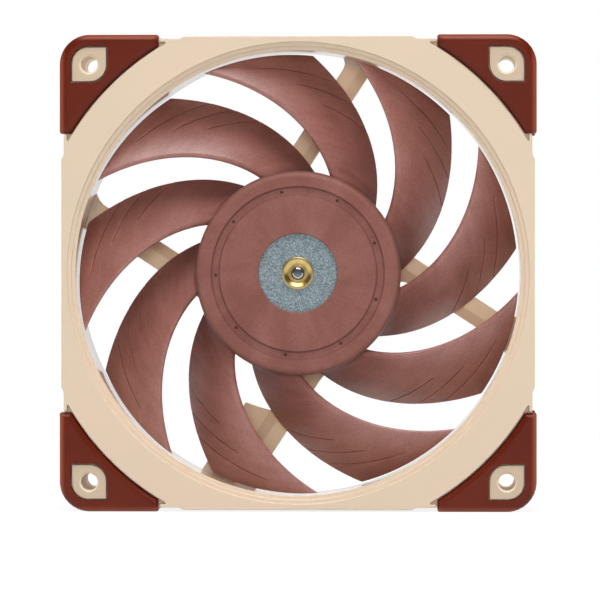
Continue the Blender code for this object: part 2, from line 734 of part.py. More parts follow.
def magnet_ring():
    """Ring magnet against the inside of the yoke."""
    return ring(MAGNET_INNER, MAGNET_RADIUS, YOKE_REAR, YOKE_UNDER - FIT_GAP)


def shaft_bush():
    """Brass bush: a countersunk front flange, a neck through the yoke and a shoulder behind it."""
    cone = BUSH_FLANGE_RADIUS - BUSH_RIM
    profile = [(cone, BUSH_FACE), (BUSH_FLANGE_RADIUS, BUSH_FACE)]
    profile += [(BUSH_FLANGE_RADIUS, YOKE_TOP + FIT_GAP), (BUSH_NECK_RADIUS, YOKE_TOP + FIT_GAP)]
    profile += [(BUSH_NECK_RADIUS, YOKE_UNDER - FIT_GAP)]
    profile += [(BUSH_SHOULDER_RADIUS, YOKE_UNDER - FIT_GAP), (BUSH_SHOULDER_RADIUS, BUSH_REAR)]
    profile += [(BORE_RADIUS, BUSH_REAR), (BORE_RADIUS, BUSH_FACE - BUSH_CONE_DEPTH)]
    return turned(profile, MOTOR_SIDES)


def shaft():
    """Steel shaft with chamfered ends and the groove for its retaining clip."""
    low = CLIP_REAR - RUNNING_GAP
    high = CLIP_FRONT + RUNNING_GAP
    tip = SHAFT_RADIUS - SHAFT_CHAMFER
    profile = [(0, SHAFT_FRONT), (tip, SHAFT_FRONT), (SHAFT_RADIUS, SHAFT_FRONT - SHAFT_CHAMFER)]
    profile += [(SHAFT_RADIUS, high), (GROOVE_RADIUS, high), (GROOVE_RADIUS, low), (SHAFT_RADIUS, low)]
    profile += [(SHAFT_RADIUS, SHAFT_REAR + SHAFT_CHAMFER), (tip, SHAFT_REAR), (0, SHAFT_REAR)]
    return turned(profile, SHAFT_SIDES)


def retaining_clip():
    """Washer snapped into the shaft's groove behind the sleeve."""
    return ring(GROOVE_RADIUS + RUNNING_GAP, CLIP_RADIUS, CLIP_REAR, CLIP_FRONT, SHAFT_SIDES)


def oil_slinger():
    """Washer on the shaft in front of the sleeve, which throws the oil back."""
    return ring(BORE_RADIUS, SLINGER_RADIUS, SLINGER_FRONT - SLINGER_DEPTH, SLINGER_FRONT, SHAFT_SIDES)


def bearing_tube():
    """Brass tube in the base, closed behind, that holds the sleeve and carries the stator."""
    floor = TUBE_REAR + TUBE_FLOOR
    profile = [(0, floor), (TUBE_BORE, floor), (TUBE_BORE, TUBE_FRONT)]
    profile += [(TUBE_RADIUS, TUBE_FRONT), (TUBE_RADIUS, TUBE_REAR), (0, TUBE_REAR)]
    return turned(profile, MOTOR_SIDES)


def sleeve_bearing():
    """Sintered sleeve that the shaft runs in."""
    return ring(BORE_RADIUS, SLEEVE_RADIUS, SLEEVE_REAR, SLEEVE_FRONT, SHAFT_SIDES)


def thrust_pad():
    """Disc at the bottom of the tube that the end of the shaft bears on."""
    top = THRUST_REAR + THRUST_DEPTH
    profile = [(0, top), (SLEEVE_RADIUS, top), (SLEEVE_RADIUS, THRUST_REAR), (0, THRUST_REAR)]
    return turned(profile, SHAFT_SIDES)


def pole_outline(shoe_outer, shoe_inner, tooth, hub_ring, half_angle):
    """Four T-shaped poles round a ring."""
    flank = tooth / 2
    foot = math.degrees(math.asin(flank / hub_ring))
    neck = math.degrees(math.asin(flank / shoe_inner))
    pole = arc((0, 0), shoe_inner, -neck, -half_angle, 2)
    pole += arc((0, 0), shoe_outer, -half_angle, half_angle)
    pole += arc((0, 0), shoe_inner, half_angle, neck, 2)
    pole += arc((0, 0), hub_ring, foot, 90 - foot, 3)
    points = []
    for _ in range(4):
        points += pole
        pole = [(-y, x) for x, y in pole]
    return points


def stator_core():
    """Stack of steel laminations with four poles."""
    outline = pole_outline(STATOR_RADIUS, SHOE_INNER, TOOTH_WIDTH, RING_RADIUS, SHOE_HALF_ANGLE)
    return prism([outline, circle(SEAT_BORE, SHAFT_SIDES)], CORE_REAR, CORE_FRONT)


def insulator():
    """Moulded end plate that keeps the windings off the core, lying at the core's front."""
    tooth = TOOTH_WIDTH + 2 * INSULATOR_MARGIN
    outer = STATOR_RADIUS - INSULATOR_MARGIN
    outline = pole_outline(outer, SHOE_INNER, tooth, RING_RADIUS, SHOE_HALF_ANGLE)
    low = CORE_FRONT + FIT_GAP
    return prism([outline, circle(SEAT_BORE, SHAFT_SIDES)], low, low + INSULATOR_DEPTH)


def coil():
    """Winding round one pole: a rounded loop, as deep as the pole between ring and shoe."""
    inner = TOOTH_WIDTH / 2 + INSULATOR_MARGIN + FIT_GAP
    outer = inner + WINDING_DEPTH
    low = RING_RADIUS + FIT_GAP
    high = math.sqrt(SHOE_INNER**2 - outer**2) - FIT_GAP
    middle = (COIL_FRONT + COIL_REAR) / 2
    reach = (COIL_FRONT - COIL_REAR) / 2 - WINDING_DEPTH

    def loop(half, rise):
        bend = WINDING_DEPTH + half - outer + FIT_GAP
        corner = (half - bend, rise - bend)
        quarter = arc(corner, bend, 0, 90, 3)
        left = [(-x, y) for x, y in reversed(quarter)]
        upper = quarter + left
        return upper + [(-x, -y) for x, y in upper]

    mesh = prism([loop(outer, reach + WINDING_DEPTH), loop(inner, reach)], low, high)
    stand = Matrix(((0, 0, 1, 0), (1, 0, 0, 0), (0, 1, 0, middle), (0, 0, 0, 1)))
    return moved(mesh, stand)


def circuit_board():
    """Round board on the ledge of the base."""
    return ring(BOSS_RADIUS + FIT_GAP, BASE_INNER - FIT_GAP, BOARD_UNDER, BOARD_TOP)


def box(size, radius, low):
    """Small block with its length along a radius, standing on a height."""
    mesh = bpy.data.meshes.new("block")
    work = bmesh.new()
    bmesh.ops.create_cube(work, size=1.0)
    work.to_mesh(mesh)
    work.free()
    mesh.transform(Matrix.Diagonal((*size, 1)))
    mesh.transform(Matrix.Translation((radius, 0, low + size[2] / 2)))
    return mesh


def winding_pin():
    """Pin between the rear insulator and the board that a winding's end is wrapped on."""
    foot = BOARD_TOP + FIT_GAP
    profile = [(0, BOSS_TOP), (PIN_RADIUS, BOSS_TOP), (PIN_RADIUS, foot), (0, foot)]
    pin = turned(profile, PIN_SIDES)
    pin.transform(Matrix.Translation((BOSS_RADIUS + PIN_OFFSET, 0, 0)))
    return pin


def place_bearing(parent):
    """Bearing pieces that stand still."""
    place("bearing_tube", bearing_tube(), BRASS, parent)
    place("sleeve_bearing", sleeve_bearing(), SINTERED, parent)
    place("thrust_pad", thrust_pad(), CHIP_BLACK, parent)


def place_stator(parent):
    """Core, insulators, windings and their pins."""
    place("stator_core", stator_core(), LAMINATION, parent)
    cover = insulator()
    middle = (CORE_FRONT + CORE_REAR) / 2
    flip = Matrix.Translation((0, 0, 2 * middle)) @ Matrix.Rotation(math.pi, 4, "X")
    place("front_insulator", cover, NYLON, parent)
    place("rear_insulator", cover, NYLON, parent, flip)
    winding = coil()
    pin = winding_pin()
    for i in range(4):
        place(f"coil_{i + 1}", winding, COPPER, parent, turn(i / 4))
        place(f"winding_pin_{i + 1}", pin, BRIGHT_STEEL, parent, turn((i + 0.5) / 4))


def place_board(parent):
    """Circuit board and the components on it, between the poles."""
    place("circuit_board", circuit_board(), BOARD_GREEN, parent)
    circle_radius = BOSS_RADIUS + COMPONENT_OFFSET
    chip = box(CHIP_SIZE, circle_radius, BOARD_UNDER - FIT_GAP - CHIP_SIZE[2])
    place("driver_chip", chip, CHIP_BLACK, parent, turn(0.125))
    edge = MAGNET_INNER - AIR_GAP - SENSOR_SIZE[0] / 2
    sensor = box(SENSOR_SIZE, edge, BOARD_TOP + FIT_GAP)
    place("hall_sensor", sensor, CHIP_BLACK, parent, turn(0.375))
    capacitor = box(CAPACITOR_SIZE, circle_radius, BOARD_TOP + FIT_GAP)
    place("capacitor", capacitor, SINTERED, parent, turn(0.625))


def place_rotor(parent):
    """Everything that turns with the shaft."""
    place("impeller", impeller(), BLADE_PLASTIC, parent)
    place("rotor_yoke", rotor_yoke(), GALVANISED, parent)
    place("magnet_ring", magnet_ring(), FERRITE, parent)
    place("shaft_bush", shaft_bush(), BRASS, parent)
    place("shaft", shaft(), BRIGHT_STEEL, parent)
    place("retaining_clip", retaining_clip(), NYLON, parent)
    place("oil_slinger", oil_slinger(), NYLON, parent)


def new_empty(name, parent=None):
    """Empty that parts are parented to."""
    empty = bpy.data.objects.new(name, None)
    PARTS.objects.link(empty)
    empty.parent = parent
    return empty


def build_fan():
    """Build every part and stand the fan upright with its intake facing -Y."""
    stand = new_empty("fan_stand")
    stand.rotation_euler = (math.pi / 2, 0, 0)
    rotor_axis = new_empty("rotor_axis", stand)
    place("frame", frame(), FRAME_PLASTIC, stand)
    place_pads(stand)
    place_bearing(stand)
    place_stator(stand)
    place_board(stand)
    place_rotor(rotor_axis)


build_fan()
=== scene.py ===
"""Looks of a 120 mm case fan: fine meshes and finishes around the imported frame.

Meshes are worked out with the fan lying on its back, heights running along its axis towards the intake.
They are then stood upright with the intake facing -Y. All lengths are metres and all angles degrees.
"""

import json
import logging
import math
from dataclasses import dataclass
from enum import Enum

import bmesh
import bpy
from mathutils import Matrix, Vector
from mathutils.geometry import tessellate_polygon

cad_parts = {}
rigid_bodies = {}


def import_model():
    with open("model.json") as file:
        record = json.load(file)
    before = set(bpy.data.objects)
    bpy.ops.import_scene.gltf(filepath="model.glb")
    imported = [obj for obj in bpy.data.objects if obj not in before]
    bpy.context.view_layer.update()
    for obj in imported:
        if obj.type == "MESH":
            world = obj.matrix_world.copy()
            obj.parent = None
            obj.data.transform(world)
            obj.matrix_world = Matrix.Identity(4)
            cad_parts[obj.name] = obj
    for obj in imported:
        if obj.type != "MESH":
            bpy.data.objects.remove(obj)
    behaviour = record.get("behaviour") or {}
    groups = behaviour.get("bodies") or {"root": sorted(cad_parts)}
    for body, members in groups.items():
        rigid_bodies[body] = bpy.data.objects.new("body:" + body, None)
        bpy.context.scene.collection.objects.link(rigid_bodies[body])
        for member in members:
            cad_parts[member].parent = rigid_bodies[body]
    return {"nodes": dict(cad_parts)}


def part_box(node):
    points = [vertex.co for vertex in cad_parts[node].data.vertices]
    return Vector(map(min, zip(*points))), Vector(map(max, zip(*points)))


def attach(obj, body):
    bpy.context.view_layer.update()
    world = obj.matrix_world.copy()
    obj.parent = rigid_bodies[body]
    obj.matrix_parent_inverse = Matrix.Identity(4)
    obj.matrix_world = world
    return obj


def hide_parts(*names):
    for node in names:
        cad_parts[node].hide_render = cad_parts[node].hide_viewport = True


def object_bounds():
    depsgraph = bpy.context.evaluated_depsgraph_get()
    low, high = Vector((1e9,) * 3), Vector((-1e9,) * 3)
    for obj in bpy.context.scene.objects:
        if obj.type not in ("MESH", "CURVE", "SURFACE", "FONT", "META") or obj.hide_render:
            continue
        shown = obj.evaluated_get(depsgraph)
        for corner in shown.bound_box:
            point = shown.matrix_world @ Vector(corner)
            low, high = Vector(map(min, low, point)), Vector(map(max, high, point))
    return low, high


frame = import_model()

CAD_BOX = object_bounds()
LOG = logging.getLogger("case_fan")

Point = tuple[float, float]
Corner = tuple[float, float, float]
Ring = list[tuple[float, float, float]]
Colour = tuple[float, float, float]

STAND = Matrix.Rotation(math.pi / 2, 4, "X")
WELD = 1e-6
SHARP = math.radians(38)
MILLIMETRE = 0.001

# Small roundings, and the largest part of an edge that one rounding takes
CRISP = 0.0001
SOFT = 0.0003
EDGE_SHARE = 0.49

# Least cosine by which an outline's corner is stretched when it is moved
MITRE_LIMIT = 0.35

# Distance of each screw hole from both centre lines
HOLE_PLACE = 0.0525

WHITE = (1.0, 1.0, 1.0)


class Cut(Enum):
    """Ways to combine two meshes."""

    UNION = "UNION"
    DIFFERENCE = "DIFFERENCE"


class Body(Enum):
    """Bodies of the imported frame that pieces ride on."""

    HOUSING = "housing"
    ROTOR = "rotor"


def spaced(start: float, end: float, steps: int) -> list[float]:
    """Evenly spaced values, both ends included."""
    return [start + (end - start) * i / steps for i in range(steps + 1)]


def blended(pair: tuple[float, float], share: float) -> float:
    """Value part of the way from the first of a pair to the second."""
    return pair[0] + (pair[1] - pair[0]) * share


def up_to(radius: float, across: float) -> float:
    """Distance up to a circle round the fan's axis, at a distance across."""
    return math.sqrt(radius**2 - across**2)


def raised(points: list[Point], height: float) -> Ring:
    """Points of an outline at one height."""
    return [(across, up, height) for across, up in points]


def unrounded(points: list[Point]) -> list[Corner]:
    """Corners of an outline that are left as they are."""
    return [(across, up, 0.0) for across, up in points]


def arc(centre: Point, radius: float, start: float, end: float, steps: int = 12) -> list[Point]:
    """Points of an arc, both ends included.

    Args:
        centre: Middle of the arc.
        radius: Its radius.
        start: Angle of the first point.
        end: Angle of the last point.
        steps: Number of straight steps.

    Returns:
        The points in order.
    """
    angles = [math.radians(angle) for angle in spaced(start, end, steps)]
    return [(centre[0] + radius * math.cos(a), centre[1] + radius * math.sin(a)) for a in angles]


def circle(radius: float, steps: int = 180) -> list[Point]:
    """Points of a circle round the fan's axis."""
    return arc((0.0, 0.0), radius, 0, 360, steps)[:-1]


def rounded(corners: list[Corner], steps: int = 4) -> list[Point]:
    """Closed outline with its corners rounded.

    Args:
        corners: Points of the outline, each with the radius that rounds it, or 0 to leave it as it is.
        steps: Straight steps in each rounding.

    Returns:
        The points of the rounded outline.
    """
    points: list[Point] = []
    count = len(corners)
    for i, (across, up, radius) in enumerate(corners):
        here = Vector((across, up))
        if radius <= 0:
            points.append((across, up))
            continue
        back = Vector(corners[i - 1][:2]) - here
        ahead = Vector(corners[(i + 1) % count][:2]) - here
        half = back.angle(ahead) / 2
        reach = min(radius / math.tan(half), EDGE_SHARE * back.length, EDGE_SHARE * ahead.length)
        first = here + back.normalized() * reach
        last = here + ahead.normalized() * reach
        depth = reach * math.tan(half)
        middle = here + (back.normalized() + ahead.normalized()).normalized() * math.hypot(reach, depth)
        for share in spaced(0.0, 1.0, steps):
            spoke = (first - middle).lerp(last - middle, share).normalized() * depth
            points.append(tuple(middle + spoke))
    return points


def quarters(corners: list[Corner]) -> list[Corner]:
    """One quarter of an outline repeated round the fan's axis."""
    outline: list[Corner] = []
    for _ in range(4):
        outline += corners
        corners = [(-up, across, bend) for across, up, bend in corners]
    return outline


def turn(degrees: float) -> Matrix:
    """Rotation about the fan's axis."""
    return Matrix.Rotation(math.radians(degrees), 4, "Z")


def mesh_of(points: list, faces: list) -> bpy.types.Mesh:
    """Mesh from points and faces, welded and facing outwards."""
    mesh = bpy.data.meshes.new("form")
    mesh.from_pydata(points, [], faces)
    return tidied(mesh)


def tidied(mesh: bpy.types.Mesh) -> bpy.types.Mesh:
    """Weld a mesh and turn its faces outwards."""
    work = bmesh.new()
    work.from_mesh(mesh)
    bmesh.ops.remove_doubles(work, verts=work.verts, dist=WELD)
    bmesh.ops.recalc_face_normals(work, faces=work.faces)
    work.to_mesh(mesh)
    work.free()
    return mesh


def evaluated(thing: bpy.types.Object) -> bpy.types.Mesh:
    """Mesh of an object with its modifiers applied; the object is removed."""
    graph = bpy.context.evaluated_depsgraph_get()
    mesh = bpy.data.meshes.new_from_object(thing.evaluated_get(graph))
    bpy.data.objects.remove(thing)
    return mesh


def linked(name: str, data: bpy.types.ID) -> bpy.types.Object:
    """New object in the scene."""
    thing = bpy.data.objects.new(name, data)
    bpy.context.scene.collection.objects.link(thing)
    return thing


def lathe(profile: list[Point], sides: int = 180) -> bpy.types.Mesh:
    """Closed profile turned about the fan's axis.

    Args:
        profile: Radius and height of each point, as a loop.
        sides: Facets round the axis.

    Returns:
        The turned mesh.
    """
    return loft([raised(circle(radius, sides), height) for radius, height in profile], closed=True)


def disc_lathe(profile: list[Point], sides: int = 180) -> bpy.types.Mesh:
    """Profile that starts and ends on the axis, turned to a solid.

    Args:
        profile: Radius and height of each point; the first and last have no radius.
        sides: Facets round the axis.

    Returns:
        The turned mesh.
    """
    inner = profile[1:-1]
    points: Ring = [(0.0, 0.0, profile[0][1]), (0.0, 0.0, profile[-1][1])]
    for radius, height in inner:
        points += raised(circle(radius, sides), height)
    faces = []
    for j in range(sides):
        k = (j + 1) % sides
        faces.append((0, 2 + j, 2 + k))
        for i in range(len(inner) - 1):
            low = 2 + i * sides
            high = low + sides
            faces.append((low + j, high + j, high + k, low + k))
        last = 2 + (len(inner) - 1) * sides
        faces.append((1, last + k, last + j))
    return mesh_of(points, faces)


def shifted(loop: list[Point], distance: float) -> list[Point]:
    """Closed outline moved to its left by a distance, so that one that runs anti-clockwise shrinks."""
    moved: list[Point] = []
    for i, point in enumerate(loop):
        here = Vector(point)
        back = (here - Vector(loop[i - 1])).normalized()
        ahead = (Vector(loop[(i + 1) % len(loop)]) - here).normalized()
        along = (back + ahead).normalized()
        stretch = max(along.dot(ahead), MITRE_LIMIT)
        moved.append(tuple(here + Vector((-along.y, along.x)) * distance / stretch))
    return moved


def plate(loops: list[list[Point]], low: float, high: float, edge: float, steps: int = 3) -> bpy.types.Mesh:
    """Flat outline, with any holes in it, raised between two heights with rounded edges.

    Args:
        loops: The outline and its holes, all anti-clockwise.
        low: Height of the lower face.
        high: Height of the upper face.
        edge: Radius of the rounded edges.
        steps: Straight steps in each rounded edge.

    Returns:
        The mesh of the plate.
    """
    swings = spaced(0.0, math.pi / 2, steps)
    layers = [(edge * (1 - math.cos(a)), high - edge * (1 - math.sin(a))) for a in swings]
    layers = [(inset, low + high - height) for inset, height in reversed(layers)] + layers
    count = sum(len(loop) for loop in loops)
    points: Ring = []
    faces: list[tuple[int, ...]] = []
    for inset, height in layers:
        for i, loop in enumerate(loops):
            points += raised(shifted(loop, -inset if i else inset), height)
    for layer in range(len(layers) - 1):
        start = layer * count
        for loop in loops:
            for i in range(len(loop)):
                near = start + i
                far = start + (i + 1) % len(loop)
                faces.append((near, far, far + count, near + count))
            start += len(loop)
    for start in (0, (len(layers) - 1) * count):
        if len(loops) == 1:
            faces.append(tuple(range(start, start + count)))
            continue
        flat, taken = [], start
        for loop in loops:
            flat.append([Vector(point) for point in points[taken:taken + len(loop)]])
            taken += len(loop)
        faces += [tuple(start + i for i in face) for face in tessellate_polygon(flat)]
    return mesh_of(points, faces)


def loft(rings: list[Ring], closed: bool = False) -> bpy.types.Mesh:
    """Skin over rings of equal point counts.

    Args:
        rings: The rings in order.
        closed: Whether the last ring meets the first; if not, both ends are capped.

    Returns:
        The mesh of the skin.
    """
    count = len(rings[0])
    faces: list[tuple[int, ...]] = []
    for i in range(len(rings) if closed else len(rings) - 1):
        low = i * count
        high = (i + 1) % len(rings) * count
        for j in range(count):
            k = (j + 1) % count
            faces.append((low + j, low + k, high + k, high + j))
    if not closed:
        last = (len(rings) - 1) * count
        faces += [tuple(range(count)), tuple(range(last, last + count))]
    return mesh_of([point for ring in rings for point in ring], faces)


def placed(mesh: bpy.types.Mesh, matrix: Matrix) -> bpy.types.Mesh:
    """Copy of a mesh in another place, still facing outwards where it is mirrored."""
    copy = mesh.copy()
    copy.transform(matrix)
    if matrix.determinant() < 0:
        copy.flip_normals()
    return copy


def joined(meshes: list[bpy.types.Mesh]) -> bpy.types.Mesh:
    """Several meshes as one."""
    work = bmesh.new()
    for mesh in meshes:
        work.from_mesh(mesh)
    group = bpy.data.meshes.new("group")
    work.to_mesh(group)
    work.free()
    return group


def patterned(mesh: bpy.types.Mesh, count: int) -> bpy.types.Mesh:
    """Copies of a mesh spread evenly round the fan's axis."""
    return joined([placed(mesh, turn(360 * i / count)) for i in range(count)])


def both_faces(mesh: bpy.types.Mesh) -> bpy.types.Mesh:
    """A mesh and its mirror image at the other face of the fan."""
    return joined([mesh, placed(mesh, Matrix.Diagonal((1, 1, -1, 1)))])


def combined(body: bpy.types.Mesh, tool: bpy.types.Mesh, cut: Cut) -> bpy.types.Mesh:
    """Two meshes combined.

    Args:
        body: Mesh that is kept or cut.
        tool: Mesh that is added or taken away.
        cut: Which of the two is done.

    Returns:
        The combined mesh.
    """
    target = linked("scratch", body)
    other = linked("scratch", tool)
    step = target.modifiers.new("cut", "BOOLEAN")
    step.operation = cut.value
    step.solver = "EXACT"
    step.object = other
    mesh = evaluated(target)
    bpy.data.objects.remove(other)
    return tidied(mesh)


def srgb(red: int, green: int, blue: int) -> Colour:
    """Colour as it is seen on a screen, 0 to 255, as linear light."""
    def linear(channel: int) -> float:
        share = channel / 255
        return share / 12.92 if share <= 0.04045 else ((share + 0.055) / 1.055) ** 2.4

    return (linear(red), linear(green), linear(blue))


class Wire:
    """Output of a node; Python's operators on it add Math nodes."""

    def __init__(self, graph: "Graph", socket: bpy.types.NodeSocket) -> None:
        """Wrap a socket of a graph."""
        self.graph = graph
        self.socket = socket

    def maths(self, operation: str, first: "Operand", second: "Operand" = 0.0) -> "Wire":
        """Math node on two values."""
        return self.graph.node("ShaderNodeMath", {"operation": operation}, {0: first, 1: second})

    def __add__(self, other: "Operand") -> "Wire":
        """Sum."""
        return self.maths("ADD", self, other)

    __radd__ = __add__

    def __sub__(self, other: "Operand") -> "Wire":
        """Difference."""
        return self.maths("SUBTRACT", self, other)

    def __rsub__(self, other: "Operand") -> "Wire":
        """Difference from a number."""
        return self.maths("SUBTRACT", other, self)

    def __mul__(self, other: "Operand") -> "Wire":
        """Product."""
        return self.maths("MULTIPLY", self, other)

    __rmul__ = __mul__

    def __truediv__(self, other: "Operand") -> "Wire":
        """Quotient."""
        return self.maths("DIVIDE", self, other)

    def __rtruediv__(self, other: "Operand") -> "Wire":
        """Quotient of a number."""
        return self.maths("DIVIDE", other, self)

    def __pow__(self, other: "Operand") -> "Wire":
        """Power."""
        return self.maths("POWER", self, other)

    def __rpow__(self, other: "Operand") -> "Wire":
        """Power of a number."""
        return self.maths("POWER", other, self)

    def __abs__(self) -> "Wire":
        """Size without its sign."""
        return self.maths("ABSOLUTE", self)

    def larger(self, other: "Operand") -> "Wire":
        """The larger of two values."""
        return self.maths("MAXIMUM", self, other)

    def between(self, low: float, high: float) -> "Wire":
        """Smooth rise from 0 at one value to 1 at another."""
        return self.graph.node(
            "ShaderNodeMapRange",
            {"interpolation_type": "SMOOTHSTEP"},
            {"Value": self, "From Min": low, "From Max": high},
        )


Operand = Wire | float


class Graph:
    """Node tree of one material or of the world."""

    def __init__(self, tree: bpy.types.NodeTree) -> None:
        """Start from an empty tree."""
        self.tree = tree
        tree.nodes.clear()

    def node(
        self,
        kind: str,
        settings: dict | None = None,
        inputs: dict | None = None,
        output: int | str = 0,
    ) -> Wire:
        """Add a node.

        Args:
            kind: Type of the node.
            settings: Values of its own, and a ramp's stops.
            inputs: Values or wires of its sockets, by name or number.
            output: Which of its outputs is wanted.

        Returns:
            That output.
        """
        made = self.tree.nodes.new(kind)
        for name, value in (settings or {}).items():
            if name == "stops":
                self._set_stops(made.color_ramp, value)
            else:
                setattr(made, name, value)
        for name, value in (inputs or {}).items():
            socket = made.inputs[name]
            if isinstance(value, Wire):
                self.tree.links.new(value.socket, socket)
            elif socket.type == "RGBA" and len(value) == 3:
                socket.default_value = (*value, 1.0)
            else:
                socket.default_value = value
        return Wire(self, made.outputs[output] if made.outputs else None)

    @staticmethod
    def _set_stops(ramp: bpy.types.ColorRamp, stops: list[tuple[float, Colour]]) -> None:
        """Give a ramp its stops."""
        while len(ramp.elements) < len(stops):
            ramp.elements.new(1.0)
        for element, (position, colour) in zip(ramp.elements, stops):
            element.position = position
            element.color = (*colour, 1.0)

    def place(self) -> Wire:
        """Position on the piece, in metres, which moves with it."""
        return self.node("ShaderNodeTexCoord", output="Object")

    def parts(self, vector: Wire, axes: str) -> list[Wire]:
        """Parts of a vector along the named axes."""
        return [self.node("ShaderNodeSeparateXYZ", inputs={0: vector}, output=axis) for axis in axes]

    @staticmethod
    def span(first: Wire, second: Wire) -> Wire:
        """Length of a flat vector."""
        return (first * first + second * second) ** 0.5

    def stretched(self, vector: Wire, scale: tuple[float, float, float]) -> Wire:
        """Vector with each of its parts scaled."""
        return self.node("ShaderNodeVectorMath", {"operation": "MULTIPLY"}, {0: vector, 1: scale})

    def noise(self, vector: Wire, scale: float, detail: float = 3.0, roughness: float = 0.55) -> Wire:
        """Soft random value, about 0.5 on average."""
        return self.node(
            "ShaderNodeTexNoise",
            inputs={"Vector": vector, "Scale": scale, "Detail": detail, "Roughness": roughness},
        )

    def mixed(self, share: Operand, first: Wire | Colour, second: Wire | Colour, blend: str = "MIX") -> Wire:
        """Two colours mixed by a share."""
        return self.node(
            "ShaderNodeMix",
            {"data_type": "RGBA", "blend_type": blend},
            {0: share, 6: first, 7: second},
            output=2,
        )

    def bump(self, height: Wire, depth: float, strength: float = 1.0) -> Wire:
        """Normal of a surface with small relief."""
        return self.node("ShaderNodeBump", inputs={"Strength": strength, "Distance": depth, "Height": height})

    def shade(self, **sockets: Operand | Colour) -> None:
        """Principled surface; socket names are written with underscores."""
        named = {name.replace("_", " "): value for name, value in sockets.items()}
        shader = self.node("ShaderNodeBsdfPrincipled", inputs=named)
        self.node("ShaderNodeOutputMaterial", inputs={"Surface": shader})


def material(name: str) -> tuple[bpy.types.Material, Graph]:
    """New material and its empty graph."""
    made = bpy.data.materials.new(name)
    made.use_nodes = True
    return made, Graph(made.node_tree)


@dataclass(frozen=True)
class Finish:
    """What a piece is made of; each kind fills its material's graph in its own way."""

    name: str

    def material(self) -> bpy.types.Material:
        """Make the material."""
        made, graph = material(self.name)
        self.paint(graph)
        return made

    def paint(self, graph: Graph) -> None:
        """Fill the material's graph."""
        raise NotImplementedError


@dataclass(frozen=True)
class MouldedPlastic(Finish):
    """Beige moulded plastic with a faint drift of tone, a fine satin grain and a polished duct, with painted
    shade over the corners, painted light in the screw holes and a paler, warmer painted bounce light inside
    the duct.
    """

    name: str = "beige_plastic"
    tone: Colour = srgb(221, 201, 177)
    warm_tone: Colour = srgb(225, 202, 178)
    # Painted shade: a darker tone over the corners, where the screw bosses lie sunk under the pads
    corner_painted_shade: Colour = srgb(206, 185, 160)
    corner_shade_from: tuple[float, float] = (0.0460, 0.0475)
    # Painted light: a paler tone in the screw holes, whose bores lie in shade
    hole_painted_light: Colour = srgb(236, 216, 190)
    hole_place: float = HOLE_PLACE
    hole_light_to: tuple[float, float] = (0.00235, 0.00265)
    # Painted bounce light: a paler, warmer tone on everything inside the duct, the struts, cable plate and
    # motor base
    strut_painted_light: Colour = srgb(232, 205, 172)
    strut_light_to: tuple[float, float] = (0.0530, 0.0545)
    drift_scale: float = 14.0
    drift_range: tuple[float, float] = (0.35, 0.65)
    bore_from: tuple[float, float] = (0.0540, 0.0555)
    bore_to: tuple[float, float] = (0.0562, 0.0566)
    polish: float = 0.13
    grain_scale: float = 2600.0
    grain_depth: float = 0.000006
    roughness: float = 0.42
    roughness_swing: float = 0.16

    def paint(self, graph: Graph) -> None:
        """Fill the material's graph."""
        place = graph.place()
        drift = graph.noise(place, self.drift_scale, detail=2.0)
        grain = graph.noise(place, self.grain_scale, detail=2.0)
        outward = graph.parts(place, "XZ")
        sides = [abs(part) for part in outward]
        # Painted shade over the corners
        corner = [side.between(*self.corner_shade_from) for side in sides]
        # Painted light in the screw holes, mixed into the painted shade of the corners
        outside = graph.span(*[side - self.hole_place for side in sides]).between(*self.hole_light_to)
        boss = graph.mixed(outside, self.hole_painted_light, self.corner_painted_shade)
        radius = graph.span(*outward)
        bore = radius.between(*self.bore_from) * (1.0 - radius.between(*self.bore_to))
        body = graph.mixed(drift.between(*self.drift_range), self.tone, self.warm_tone)
        # Painted bounce light inside the duct
        body = graph.mixed(radius.between(*self.strut_light_to), self.strut_painted_light, body)
        satin = self.roughness + (grain - 0.5) * self.roughness_swing
        graph.shade(
            Base_Color=graph.mixed(corner[0] * corner[1], body, boss),
            Roughness=satin + bore * (self.polish - satin),
            Normal=graph.bump(grain * (1.0 - bore), self.grain_depth),
        )


@dataclass(frozen=True)
class HubPits:
    """Small ejector pits in the hub's ring channel, spread evenly round it."""

    count: int = 9
    angle: float = 21.4
    place: float = 0.02070
    radius: float = 0.00045
    depth: float = 0.00012
    foot_share: float = 0.6


